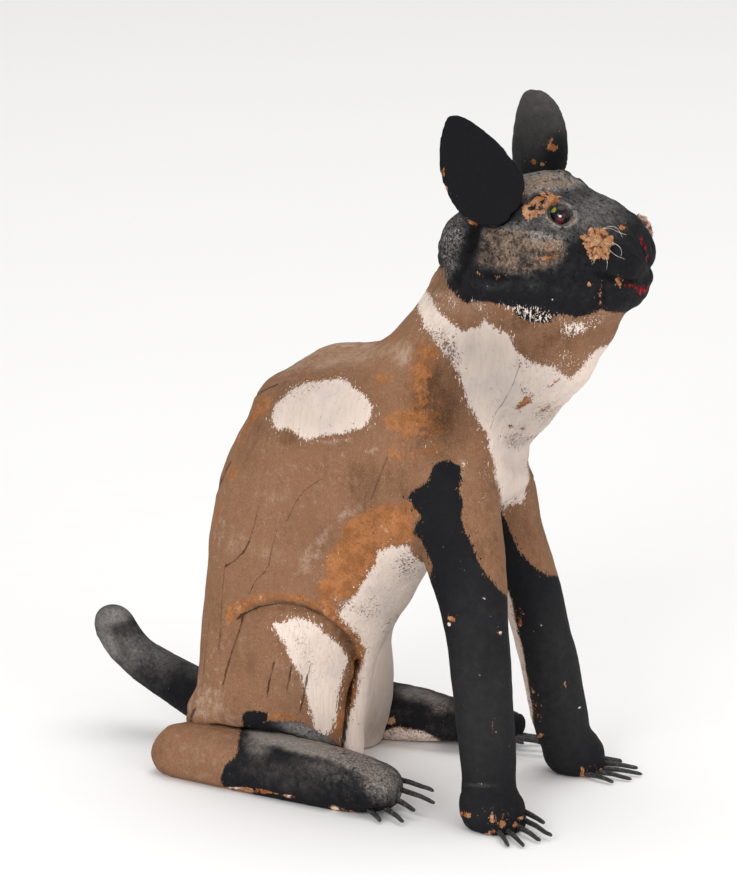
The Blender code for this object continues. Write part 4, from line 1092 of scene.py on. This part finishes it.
def whisker_material(name, light, dark):
    """Stiff pale bristle with a slight sheen."""
    made, _, shader, place = new_material(name)
    along = speckle(place, 240.0, 2.0)
    feed(shader.inputs["Base Color"], mixed(level(along, 0.4, 0.6), light, dark))
    feed(shader.inputs["Roughness"], level(along, 0.3, 0.7, 0.45, 0.6))
    bumped(shader, along, 0.00004)
    return made


# Fields of the painted wood: their names and plain values

PAINT_FIELDS = {
    "white": -1.0, "black": 1.0, "bare": -1.0, "red": -1.0, "pale": -1.0, "wear": 0.0, "shade": 0.0,
    "powder": 0.0, "fleck": 0.0, "rust": 0.0, "dullness": 0.0, "soil": 0.0, "dust": 0.0, "warmth": 0.0,
    "grit": 1.0, "crack": 0.0, "hollow": 0.0, "split": 1.0, "split_near": 1.0, "split_width": 0.0005,
}


def all_fields(count, **given):
    """Every field of the painted wood, those that aren't given at their plain value."""
    return {name: given.get(name, value) + np.zeros(count) for name, value in PAINT_FIELDS.items()}


def hollows(lift):
    """Share of full depth, 3 mm, of the places that the carving sets in, which sets their painted shade."""
    return np.clip(-lift / 0.003, 0, 1)


def body_views(points, normals):
    """For the seen and the mirrored side: pixels, and how far each point faces that side's camera.

    The mirror is the cat's middle plane, and over the neck it turns with the head."""
    share = smooth_step(points[:, 2], *NECK)[:, None]
    mirrored = points * MIRROR * (1 - share) + mirrored_head(points) * share
    drift = np.stack([noise(points, 0.07, 91), noise(points, 0.07, 92)], 1) * 7
    return ((in_picture(points), normals @ CAMERA_BACK),
            (in_picture(mirrored) + drift, (normals * MIRROR) @ CAMERA_BACK))


def leg_inside(points, side):
    """Signed distance into a foreleg, positive inside it and only below its shoulder."""
    away = LEG_REACH - from_line(points, LEG_LINE[side])
    return np.minimum(away, LEG_TOP[side] - points[:, 2])


def paint_fields(pixels, near_leg, far_leg, seen, outward, facing):
    """Signed distances of the paints, amounts of wear, dust and painted shade, and the cracks for one side of
    the body.

    The shoulder's black stays outward of the foreleg. The smear lies where the trunk faces the picture."""
    trunk = -np.maximum(near_leg, far_leg)
    white = np.minimum(np.maximum(inside(pixels, THIGH_PATCH), inside(pixels, BELLY)), trunk)
    white = np.maximum(white, np.minimum(inside(pixels, CHEST_BAND), -near_leg))
    white = np.maximum(white, np.minimum(inside(pixels, FAR_LEG_STRIP), far_leg))
    if seen:
        white = np.maximum(white, np.minimum(inside(pixels, BACK_OVAL), trunk))
    leg = np.where(pixels[:, 1] < SHOULDER_ENDS, np.maximum(outward - 0.030, near_leg), near_leg)
    head = inside(pixels, HEAD_BLACK)
    black = np.maximum.reduce([head, np.minimum(inside(pixels, NEAR_LEG_BLACK), leg),
                               np.minimum(inside(pixels, FAR_LEG_BLACK), far_leg)])
    black = np.where(far_leg > 0, np.minimum(black, -inside(pixels, FAR_LEG_STRIP)), black)
    smear = np.minimum(inside(pixels, TRUNK_SMEAR), trunk)
    black = np.maximum(black, np.where(facing > 0.05, smear, -0.02))

    above = -signed_from_line(pixels, THIGH_ARC)
    crack = from_line(pixels, THIGH_CRACK)
    ridge = hump(above - 9, 5) * smooth_step(pixels[:, 0], *RIDGE_STARTS)
    rust = 0.95 * smooth_step(inside(pixels, RUST_FIELD), -0.005, 0.006) + 0.75 * ridge
    rust += amounts(pixels, RUST_FLECKS) + 0.75 * hump(crack, 6)
    right_part = smooth_step(pixels[:, 0], *ARC_SHADE_STARTS)
    wear = 0.24 * np.clip(rust, 0, 1.1) + 0.20 * ridge
    shade = amounts(pixels, DARK_AND_PALE) - 0.25 * smooth_step(near_leg, -0.01, 0.01)
    shade -= amounts(pixels, SHOULDER_SPOTS) * smooth_step(blotches(pixels, 12.0, 4, 87), -0.3, 0.7)
    # Painted shade under the ledge over the thigh's carved line, on its right part
    shade -= 0.4 * right_part * hump(above - 2.0, 3.5)
    shade -= 0.4 * hump(crack - 2.5, 2.5)
    broken = 0.0026 * blotches(pixels, 12.0, 4, 81)
    cheek, crown, block = (smooth_step(inside(pixels, outline) + broken, -0.0045, 0.0060)
                           for outline in (CHEEK, CROWN, BACK_OF_HEAD))
    dust = 0.03 + amounts(pixels, COOL_DUST) + 0.42 * cheek + 1.08 * crown + 0.60 * block
    dust += 0.20 * cheek * blotches(pixels, 14.0, 3, 85)
    grit = 1.0 - 0.75 * smooth_step(pixels[:, 1], *HEAD_GRIT_ENDS) + 0.7 * block + amounts(pixels, SMEAR_GRIT)
    warmth = cheek * (1 - amounts(pixels, COOL_CHEEK)) + 0.7 * crown
    crumbs, ragged = 0.0050 * blotches(pixels, 6.0, 3, 86), 0.0014 * blotches(pixels, 4.0, 2, 89)
    bare = np.maximum.reduce([np.minimum(inside(pixels, BROW), 0.0020) + crumbs - (0.0 if seen else 0.004),
                              ovals(pixels, BARE_CHIPS) - 0.0003 + ragged,
                              np.minimum(np.minimum(amounts(pixels, CHIPS_IN_BLACK), 0.0098) - 0.0105,
                                         black + 0.004)])
    red = np.maximum.reduce([0.0009 - from_line(pixels, way) * PIXEL for way in RED_LINES]
                            + [ovals(pixels, RED_SPOTS) + 0.6 * ragged])
    split, near, width = np.full(len(pixels), 0.02), np.full(len(pixels), 0.02), np.zeros(len(pixels))
    for way, half, _ in ((THIGH_ARC[:4], 0.0006, 0), (THIGH_ARC[3:7], 0.0003, 0),
                         (THIGH_CRACK, 0.0012, 0)) + (SPLITS if seen else ()):
        signed = signed_from_line(pixels, way) * PIXEL
        closer = np.abs(signed) < near
        split, width = np.where(closer, signed, split), np.where(closer, half, width)
        near = np.where(closer, np.abs(signed), near)
    if not seen:
        near = np.where(crack * PIXEL < near + 0.001, 0.02, near)
        bare = bare - 0.001
    pale = ovals(pixels, PALE_SPECKS) + 0.4 * ragged if seen else np.full(len(pixels), -0.02)
    return {"white": white, "black": black, "bare": bare, "red": red, "pale": pale, "wear": wear,
            "shade": shade, "rust": rust, "dust": dust, "warmth": warmth, "grit": grit, "split": split,
            "split_near": near, "split_width": width, "fleck": amounts(pixels, WHITE_FLECKS),
            "powder": amounts(pixels, DUST_ON_BROWN), "dullness": amounts(pixels, PAINTED_SHADE_SPOTS),
            "soil": amounts(pixels, STAINS_ON_WHITE)}


def carved_lift(pixels, ledge, seen):
    """Height that carving adds for one side, in metres: the thigh's ledge and line, and the cracks."""
    above = -signed_from_line(pixels, THIGH_ARC)
    fade = smooth_step(pixels[:, 0], *LEDGE_STARTS) * (1 - smooth_step(pixels[:, 1], *LEDGE_ENDS))
    lift = hump(above - 9, 6) - 0.85 * hump(above + 0.5, 3.4)
    lift *= fade * ledge
    if seen:
        crack = from_line(pixels, THIGH_CRACK)
        lift -= 0.0030 * hump(crack, 1.5) + 0.001 * hump(crack, 6.0)
        lift += amounts(pixels, LOW_BULGE)
        for way, width, depth in SPLITS:
            lift -= 0.8 * depth * hump(from_line(pixels, way) * PIXEL, width * 1.4)
    return lift


def face_lift(points, pixels):
    """Height of the head's own places on one side: rough cheek, brow and back, folds and hollows."""
    cheek, block, brow = (smooth_step(inside(pixels, outline), -0.002, 0.003)
                          for outline in (CHEEK, BACK_OF_HEAD, BROW))
    lift = 0.0012 * cheek * (0.6 + layered(points, 0.0075, 3, 71))
    lift += 0.0011 * block * layered(points, 0.006, 2, 72)
    lift += brow * (0.0006 + 0.0012 * layered(points, 0.005, 2, 73))
    lift -= 0.0030 * hump(from_line(pixels, CHEEK_BACK), 6.5)
    fold = signed_from_line(pixels, CHEEK_FOLD)
    lift += 0.0012 * hump(fold + 5, 3) - 0.0018 * hump(fold, 1.8)
    return lift - 0.0045 * hump(from_line(pixels, EAR_GAP), 3.4)


def from_eye(points, side):
    """Distance of each point from the middle of one of the marbles."""
    return np.linalg.norm(points - box_of("eye_" + side)[0], axis=1)


def head_lift(points, tool_marks):
    """Height of the head's carving: knife cuts, eye hollows, brows, cheeks, mouth and nostrils."""
    lift = tool_marks * (facets(points, 0.016, 3) + 0.7 * layered(points, 0.008, 3, 7)
                         + 1.2 * layered(points, 0.024, 2, 9))
    flat = turned(points, -HEAD_TURN)
    for side, way in SIDES.items():
        gap = from_eye(points, side)
        lift -= 0.0016 * hump(gap - EYE_RIM, 0.0016)
        lift += 0.0012 * hump(gap - 0.0128, 0.0022)
        mirrored = flat * np.array([1.0, way, 1.0])
        lift -= 0.0034 * hump(from_line(mirrored, MOUTH), 0.0016)
        lift += 0.0012 * hump(from_line(mirrored, np.array(MOUTH) - (0, 0, 0.006)), 0.004)
        lift -= 0.0026 * hump(from_line(mirrored, NOSTRIL), 0.0022)
    return lift


# Operators

def settings():
    """The four groups of settings on the scene."""
    scene = bpy.context.scene
    return scene.cat_carving, scene.cat_paint, scene.cat_fittings, scene.cat_stage


class CAT_OT_stage(bpy.types.Operator):
    """Camera of the photograph, pale floor and soft studio light"""
    bl_idname = "carved_cat.stage"
    bl_label = "Stage and light"

    def execute(self, context):
        stage = settings()[3]
        scene = context.scene
        lens = bpy.data.cameras.new("picture_camera")
        lens.sensor_width = SENSOR
        lens.lens = SENSOR * FOCAL_PIXELS / PICTURE[1]
        lens.clip_end = 100.0
        camera = bpy.data.objects.new("picture_camera", lens)
        axes = Matrix((CAMERA_RIGHT, CAMERA_UP, CAMERA_BACK)).transposed().to_4x4()
        camera.matrix_world = Matrix.Translation(Vector(CAMERA_PLACE)) @ axes
        scene.collection.objects.link(camera)
        scene.camera = camera

        side = np.linspace(-9.0, 9.0, 13)
        x, y = np.meshgrid(side, side)
        floor_mesh = grid_mesh("floor", np.stack([x, y, np.full_like(x, FLOOR_HEIGHT)], -1), close_u=False)
        work = bmesh.new()
        work.from_mesh(floor_mesh)
        for face in work.faces:
            if face.normal.z < 0:
                face.normal_flip()
        work.to_mesh(floor_mesh)
        work.free()
        made, _, shader, place = new_material("pale_floor")
        darker = tuple(c * 0.985 for c in stage.floor_colour[:3]) + (1.0,)
        feed(shader.inputs["Base Color"], mixed(speckle(place, 3.0), stage.floor_colour, darker))
        shader.inputs["Roughness"].default_value = 0.9
        floor_mesh.materials.append(made)
        floor = bpy.data.objects.new("floor", floor_mesh)
        scene.collection.objects.link(floor)

        middle = Vector(CAMERA_TARGET)
        for name, place, size, power in LIGHTS:
            lamp = bpy.data.lights.new(name, "AREA")
            lamp.shape = "DISK"
            lamp.size = size
            lamp.energy = getattr(stage, power)
            item = bpy.data.objects.new(name, lamp)
            item.location = place
            item.rotation_euler = (middle - Vector(place)).to_track_quat("-Z", "Y").to_euler()
            scene.collection.objects.link(item)
        room = bpy.data.worlds.new("studio")
        room.use_nodes = True
        backdrop = room.node_tree.nodes["Background"]
        backdrop.inputs["Color"].default_value = (1.0, 0.99, 0.98, 1.0)
        backdrop.inputs["Strength"].default_value = stage.room_light
        scene.world = room
        scene.view_settings.view_transform = "Standard"
        return {"FINISHED"}


class CAT_OT_body(bpy.types.Operator):
    """Trunk, head and forelegs in one carved and painted skin"""
    bl_idname = "carved_cat.body"
    bl_label = "Carved body"

    def execute(self, context):
        carving = settings()[0]
        mesh = even_skin(merged_copy("body"), carving.grid)
        finer(mesh, lambda where: where[:, 2] > HEAD_BOTTOM)

        def by_the_carving(where):
            pixels = in_picture(where)
            near = (from_line(pixels, THIGH_ARC) < 12) | (from_line(pixels, THIGH_CRACK) < 7)
            for way, _, depth in SPLITS:
                near |= (from_line(pixels, way) < 3.5) & (depth > 0.0009)
            return near & (where[:, 1] < 0.03) & (where[:, 2] < HEAD_BOTTOM)

        finer(mesh, by_the_carving)
        points, _ = points_of(mesh)
        move_points(mesh, points + amounts(in_picture(points), SIDEWAYS)[:, None] * CAMERA_RIGHT)
        points, normals = points_of(mesh)
        views = body_views(points, normals)
        legs = {side: leg_inside(points, side) for side in SIDES}
        direct = paint_fields(views[0][0], legs["right"], legs["left"], True, -points[:, 1], views[0][1])
        mirrored = paint_fields(views[1][0], legs["left"], legs["right"], False, points[:, 1], views[1][1])
        share = smooth_step(views[0][1], -0.02, 0.12)
        share = np.where(views[1][1] < -0.05, 1.0, share)
        fields = {name: direct[name] * share + mirrored[name] * (1 - share) for name in direct}

        head = smooth_step(points[:, 2], *HEAD_SETS_IN)
        low = smooth_step(points[:, 2], *CARVING_SETS_IN)
        along = points * np.array([1.0, 1.0, 0.22])
        lift = carving.waviness * (layered(points, 0.06, 2, 1) + 0.7 * noise(points, 0.028, 2))
        fibres = layered(along, 0.004, 2, 11) + 0.8 * layered(along, 0.012, 2, 12)
        lift += carving.grain * fibres * (1 - head)
        lift += head * head_lift(points, carving.tool_marks)
        side_lift = carved_lift(views[0][0], carving.ledge, True) * share
        side_lift += carved_lift(views[1][0], carving.ledge, False) * (1 - share)
        face = face_lift(points, views[0][0]) * share + face_lift(points, views[1][0]) * (1 - share)
        lift += side_lift * (1 - head) + face * head
        edge_on = smooth_step(np.abs(views[0][1]), 0.75, 0.25)
        lift += amounts(views[0][0], CONTOUR) * edge_on
        left_crack = from_line(points, LEFT_CRACK)
        lift -= 0.002 * hump(left_crack, 0.002)
        for side in SIDES:
            gap = from_eye(points, side)
            rim = hump(gap - EYE_RIM - 0.0016, 0.0018) * (0.7 + 0.5 * noise(points, 0.008, 83))
            fields["dust"], fields["warmth"] = fields["dust"] + 0.9 * rim, fields["warmth"] + rim
        # Painted shade in the places that the carving sets in
        fields["hollow"] = np.clip(-lift / 0.004, 0, 1)
        fields = all_fields(len(points), crack=hump(left_crack, 0.0016), **fields)
        move_points(mesh, points + normals * (lift * low)[:, None])
        keep_fields(mesh, **fields)
        add_piece("carved_body", mesh, wood_material("painted_log"), ("body",))
        return {"FINISHED"}


class CAT_OT_ears(bpy.types.Operator):
    """Both let-in ears, black with worn edges"""
    bl_idname = "carved_cat.ears"
    bl_label = "Ears"

    def execute(self, context):
        finish = wood_material("ear_paint", 0.0005)
        for side in SIDES:
            name = "ear_" + side
            mesh = even_skin(merged_copy(name), EAR_GRID, EAR_SMOOTHING)
            points, normals = points_of(mesh)
            middle = points.mean(0)
            lift = 0.0005 * layered(points, 0.012, 3, 21) + 0.0003 * facets(points, 0.009, 5)
            foot = smooth_step(points[:, 2], points[:, 2].min() + 0.002, points[:, 2].min() + 0.012)
            move_points(mesh, points + normals * (lift * foot)[:, None])
            pixels = in_picture(points)
            outward = np.array([math.sin(math.radians(15)), SIDES[side], 0.0])
            rim = smooth_step(np.abs(normals @ outward), 0.6, 0.3)
            height = (points[:, 2] - middle[2]) / 0.04
            # Each ear's colour is darkened by a share of painted shade
            if side == "right":
                dust, warmth, painted_ear_shade = 0.26 * rim - 0.06, 0.0, 0.22
                bare = ovals(pixels, NEAR_EAR_CHIPS) - 0.0003
                sideways = amounts(pixels, EAR_WIDENING)[:, None] * CAMERA_RIGHT
                move_points(mesh, points + normals * (lift * foot)[:, None] + sideways * foot[:, None])
            else:
                warmth, painted_ear_shade = amounts(pixels, FAR_EAR_WARMTH), 0.25
                # The far ear's black grows paler towards its top
                dust = 0.21 + 0.13 * height + 0.12 * warmth - amounts(pixels, FAR_EAR_CLEAN)
                bare = ovals(pixels, FAR_EAR_CHIPS) - 0.0008 + 0.0014 * blotches(pixels, 4.0, 2, 89)
            keep_fields(mesh, **all_fields(len(points), bare=bare, dullness=painted_ear_shade, dust=dust, warmth=warmth,
                                           grit=0.3, hollow=hollows(lift)))
            add_piece("carved_" + name, mesh, finish, (name,))
        return {"FINISHED"}


class CAT_OT_tail(bpy.types.Operator):
    """Tail, dusty charcoal"""
    bl_idname = "carved_cat.tail"
    bl_label = "Tail"

    def execute(self, context):
        carving = settings()[0]
        mesh = even_skin(merged_copy("tail"), carving.limb_grid)
        points, normals = points_of(mesh)
        along = points * np.array([0.3, 1.0, 0.3])
        lift = 0.0009 * layered(points, 0.03, 2, 31) + 0.0003 * layered(along, 0.006, 3, 32)
        lift += carving.tool_marks * 0.5 * facets(points, 0.014, 33)
        low = smooth_step(points[:, 2], *CARVING_SETS_IN)
        move_points(mesh, points + normals * (lift * low)[:, None])
        pixels = in_picture(points)
        # The black is paler on the tail's upward faces
        dust = 0.15 + 0.10 * normals[:, 2] + amounts(pixels, TAIL_DUST)
        bare = 0.003 * noise(points, 0.02, 8) - 0.0075
        keep_fields(mesh, **all_fields(len(points), bare=bare, dust=dust, warmth=0.2, grit=0.6,
                                       hollow=hollows(lift)))
        add_piece("carved_tail", mesh, wood_material("tail_paint"), ("tail",))
        return {"FINISHED"}


class CAT_OT_hind_feet(bpy.types.Operator):
    """Both hind feet, brown at the heel, black and dusty towards the toes"""
    bl_idname = "carved_cat.hind_feet"
    bl_label = "Hind feet"

    def execute(self, context):
        carving = settings()[0]
        finish = wood_material("foot_paint")
        for side in SIDES:
            name = "hind_foot_" + side
            mesh = even_skin(merged_copy(name), carving.limb_grid)
            points, _ = points_of(mesh)
            flip = np.array([1.0, -SIDES[side], 1.0])
            grown = amounts(in_picture(points * flip), FOOT_SIDEWAYS)[:, None] * (CAMERA_RIGHT * flip)
            move_points(mesh, points + grown)
            points, normals = points_of(mesh)
            along = points * np.array([0.3, 1.0, 1.0])
            lift = 0.0009 * layered(points, 0.03, 2, 41) + 0.0003 * layered(along, 0.005, 3, 42)
            lift += carving.tool_marks * 0.6 * facets(points, 0.013, 43)
            low = smooth_step(points[:, 2], *TOES_SET_IN)
            move_points(mesh, points + normals * (lift * low)[:, None])
            outer = in_picture(points * flip)
            pixels = in_picture(points)
            black = -signed_from_line(outer, HEEL_EDGE) * PIXEL
            white = np.full(len(points), -1.0)
            ragged = blotches(outer, 7.0, 3, 88)
            dust = 0.04 + amounts(outer, FOOT_DUST)
            bare = np.minimum(amounts(outer, FOOT_CHIPS), 0.0106) - 0.0100
            bare += 0.0016 * ragged * (bare > -0.004)
            pale = ovals(outer, FOOT_PALE) + 0.0010 * ragged
            if side == "left":
                white = inside(pixels, FAR_FOOT_WHITE)
                dust = np.where(normals @ CAMERA_BACK > 0, 0.05 + amounts(pixels, FAR_FOOT_DUST), dust)
                bare = np.maximum(bare - 0.003, ovals(pixels, FAR_FOOT_CHIPS))
                black = np.minimum(black, -white)
            grit = 0.55 + 0.5 * smooth_step(outer[:, 0], 300, 360)
            keep_fields(mesh, **all_fields(
                len(points), white=white, black=black, bare=bare, pale=pale, wear=0.1, shade=0.02, powder=0.1,
                soil=0.7, dust=dust, warmth=0.4, grit=grit, hollow=hollows(lift)))
            add_piece("carved_" + name, mesh, finish, (name,))
        return {"FINISHED"}


def claw(peg, number):
    """Tapered peg carried along the solid peg's own axis, arched a little, wavy and blunt at its tip.

    Nothing of it lies under the ground."""
    middle = peg.mean(0)
    inner = peg[peg[:, 0] < np.quantile(peg[:, 0], 0.3)].mean(0)
    way = np.linalg.svd(peg - middle, full_matrices=False)[2][0]
    way *= np.sign(way @ (middle - inner))
    along = (peg - middle) @ way
    thick = np.linalg.norm(peg - middle - along[:, None] * way, axis=1).max()
    t = np.linspace(0, 1, 40)[:, None]
    path = middle + way * (along.min() + (along.max() - along.min()) * t)
    path[:, 2:] += 0.0007 * np.sin(t * math.pi * 0.95) * smooth_step(t, 0.2, 0.5)
    path += 0.0004 * np.stack([noise(path * 3 + number, 0.02, 50 + k) for k in (1, 2, 3)], 1) * t
    radius = thick * 0.88 * (1 - 0.34 * t[:, 0] ** 1.4) * np.sqrt(np.clip(1.02 - t[:, 0] ** 30, 0.02, 1))
    skin = tube(path, radius, 20)
    skin += 0.0003 * (noise(skin.reshape(-1, 3), 0.004, 51)[:, None] * way).reshape(skin.shape)
    skin[..., 2] = np.maximum(skin[..., 2], 0.0)
    return grid_mesh("claw", skin)


class CAT_OT_claws(bpy.types.Operator):
    """Peg claws of the four feet"""
    bl_idname = "carved_cat.claws"
    bl_label = "Claws"

    def execute(self, context):
        made, _, shader, place = new_material("claw_black")
        worn = speckle(place, 420.0, 3.0, 0.6)
        colour = mixed(level(worn, 0.5, 0.72), linear(30, 30, 32), linear(96, 90, 84))
        feed(shader.inputs["Base Color"], colour)
        feed(shader.inputs["Roughness"], level(worn, 0.3, 0.7, 0.5, 0.75))
        bumped(shader, worn, 0.0004)
        for foot in ("fore", "hind"):
            for side in SIDES:
                names = [f"claw_{foot}_{side}_{number}" for number in range(1, 6)]
                parts = [claw(points_of(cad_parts[name].data)[0], number)
                         for number, name in enumerate(names)]
                add_piece(f"claws_{foot}_{side}", joined("claws", parts), made, names)
        return {"FINISHED"}


class CAT_OT_eyes(bpy.types.Operator):
    """Glass marble eyes"""
    bl_idname = "carved_cat.eyes"
    bl_label = "Glass eyes"

    def execute(self, context):
        finish = eye_material("eye_marble")
        for side in SIDES:
            middle, size = box_of("eye_" + side)
            radius = size.max() / 2
            mesh = grid_mesh("eye_" + side, middle + radius * unit_ball(33, 64), poles=True)
            points, _ = points_of(mesh)
            pixels = in_picture(points if side == "right" else mirrored_head(points))
            keep_fields(mesh, green=amounts(pixels, EYE_GREEN), glow=amounts(pixels, EYE_GLOW),
                        spark=amounts(pixels, EYE_PAINTED_HIGHLIGHT))
            add_piece("marble_eye_" + side, mesh, finish, ("eye_" + side,))
        return {"FINISHED"}


class CAT_OT_whisker_pads(bpy.types.Operator):
    """Crumpled whisker pads with short fibres"""
    bl_idname = "carved_cat.whisker_pads"
    bl_label = "Whisker pads"

    def execute(self, context):
        fittings = settings()[2]
        tan = gum_material("tan_resin", linear(164, 110, 72), linear(202, 156, 118), linear(78, 44, 26))
        pink = gum_material("pink_resin", linear(206, 178, 164), linear(232, 214, 204), linear(140, 100, 84))
        hair = whisker_material("bristle", linear(214, 186, 150), linear(170, 130, 92))
        near_middle, _ = box_of("whisker_pad_right")
        outline = on_plane(PAD_OUTLINE, near_middle)
        centre = outline.mean(0)
        across, upward = (outline - centre) @ CAMERA_RIGHT, (outline - centre) @ CAMERA_UP
        turn, reach = np.arctan2(upward, across), np.hypot(across, upward)
        order = np.argsort(turn)
        turn, reach = turn[order], reach.mean() + 0.45 * (reach[order] - reach.mean())
        ball = unit_ball(91, 180)
        flat = ball.reshape(-1, 3)
        for side, seed in (("right", 60), ("left", 70)):
            middle, size = box_of("whisker_pad_" + side)
            angle = np.arctan2(flat @ CAMERA_UP, flat @ CAMERA_RIGHT)
            away = np.interp(angle, turn, reach, period=2 * math.pi)
            crumple = 1 - 2 * np.abs(layered(flat, 0.42, 4, seed))
            deep = (flat @ CAMERA_BACK)[:, None] * CAMERA_BACK
            surface = (flat - deep) * away[:, None] + deep * size.min() / 2 * 0.9
            surface *= (0.90 + 0.20 * crumple + 0.14 * layered(flat, 0.2, 2, seed + 1))[:, None]
            shift = centre - near_middle
            if side == "left":
                surface, shift = mirrored_way(surface * 0.9), mirrored_way(shift[None])
                shift = shift + FAR_PAD_SHIFT[0] * CAMERA_RIGHT + FAR_PAD_SHIFT[1] * CAMERA_UP
            surface = (middle + shift + surface).reshape(ball.shape)
            mesh = grid_mesh("pad", surface, poles=True)
            points, normals = points_of(mesh)
            ways = (points - middle - shift) / np.linalg.norm(points - middle - shift, axis=1)[:, None]
            # Painted shade in the pad's creases
            keep_fields(mesh, hollow=smooth_step(np.abs(layered(ways, 0.42, 4, seed)), 0.30, 0.8))
            add_piece("crumpled_pad_" + side, mesh, tan if side == "right" else pink,
                      ("whisker_pad_" + side,))
            chosen = (np.arange(fittings.fibres) * 7919) % len(points)
            outward = CAMERA_BACK if side == "right" else mirrored_way(CAMERA_BACK[None])[0]
            hairs = []
            for index in chosen[(normals[chosen] @ outward) > -0.1]:
                bend = np.array([noise(points[index][None], 0.002, seed + k)[0] for k in (11, 12, 13)])
                along = np.cross(normals[index], bend)
                along /= np.linalg.norm(along)
                length = 0.35 + 0.65 * abs(noise(points[index][None], 0.001, seed + 14)[0])
                length *= fittings.fibre_length
                t = np.linspace(0, 1, 6)[:, None]
                path = points[index] + along * length * (t - 0.3) + normals[index] * (
                    0.0001 + 0.3 * length * t**2) + bend * length * 0.25 * t * t
                hairs.append(grid_mesh("hair", tube(path, np.linspace(0.00024, 0.00008, 6), 4)))
            add_piece("short_fibres_" + side, joined("fibres", hairs), hair)
        return {"FINISHED"}


class CAT_OT_whiskers(bpy.types.Operator):
    """Long bent whiskers that stand out of the near pad; none are seen beyond the muzzle"""
    bl_idname = "carved_cat.whiskers"
    bl_label = "Long whiskers"

    def execute(self, context):
        fittings = settings()[2]
        pale = whisker_material("grey_whisker", linear(196, 190, 182), linear(150, 140, 128))
        middle, _ = box_of("whisker_pad_right")
        hairs = []
        for number, way in enumerate(WHISKERS):
            path = on_plane(way, middle + CAMERA_BACK * 0.002)
            for _ in range(3):
                cut = np.stack([0.75 * path[:-1] + 0.25 * path[1:], 0.25 * path[:-1] + 0.75 * path[1:]], 1)
                path = np.vstack([path[:1], cut.reshape(-1, 3), path[-1:]])
            share = np.linspace(0, 1, len(path))[:, None]
            path = path + CAMERA_BACK * 0.006 * np.sin(share * 2.4) * (1 + 0.3 * number)
            radius = fittings.whisker_thickness * (0.55 - 0.3 * share[:, 0])
            hairs.append(grid_mesh("hair", tube(path, radius, 5)))
        add_piece("long_whiskers", joined("whiskers", hairs), pale)
        return {"FINISHED"}


class CAT_PT_panel(bpy.types.Panel):
    """Buttons and settings of the carved cat"""
    bl_idname = "CAT_PT_panel"
    bl_label = "Carved Cat"
    bl_space_type = "VIEW_3D"
    bl_region_type = "UI"
    bl_category = "Carved Cat"

    def draw(self, context):
        for operator in OPERATORS:
            self.layout.operator(operator.bl_idname)
        for group, kind in SETTINGS.items():
            box = self.layout.box()
            box.label(text=kind.__doc__)
            for name in kind.__annotations__:
                box.prop(getattr(context.scene, group), name)


OPERATORS = (CAT_OT_stage, CAT_OT_body, CAT_OT_ears, CAT_OT_tail, CAT_OT_hind_feet, CAT_OT_claws, CAT_OT_eyes,
             CAT_OT_whisker_pads, CAT_OT_whiskers)
SETTINGS = {"cat_carving": CatCarving, "cat_paint": CatPaint, "cat_fittings": CatFittings,
            "cat_stage": CatStage}


def register():
    for kind in (*SETTINGS.values(), *OPERATORS, CAT_PT_panel):
        bpy.utils.register_class(kind)
    for name, kind in SETTINGS.items():
        setattr(bpy.types.Scene, name, PointerProperty(type=kind))


def unregister():
    for name in SETTINGS:
        delattr(bpy.types.Scene, name)
    for kind in (CAT_PT_panel, *reversed(OPERATORS), *reversed(SETTINGS.values())):
        bpy.utils.unregister_class(kind)


def main():
    """Register the tools, build the shared groups and dress the cat with every step."""
    register()
    build_groups(settings()[1])
    for operator in OPERATORS:
        getattr(bpy.ops.carved_cat, operator.bl_idname.split(".")[1])()
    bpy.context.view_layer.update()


if __name__ == "__main__":
    main()
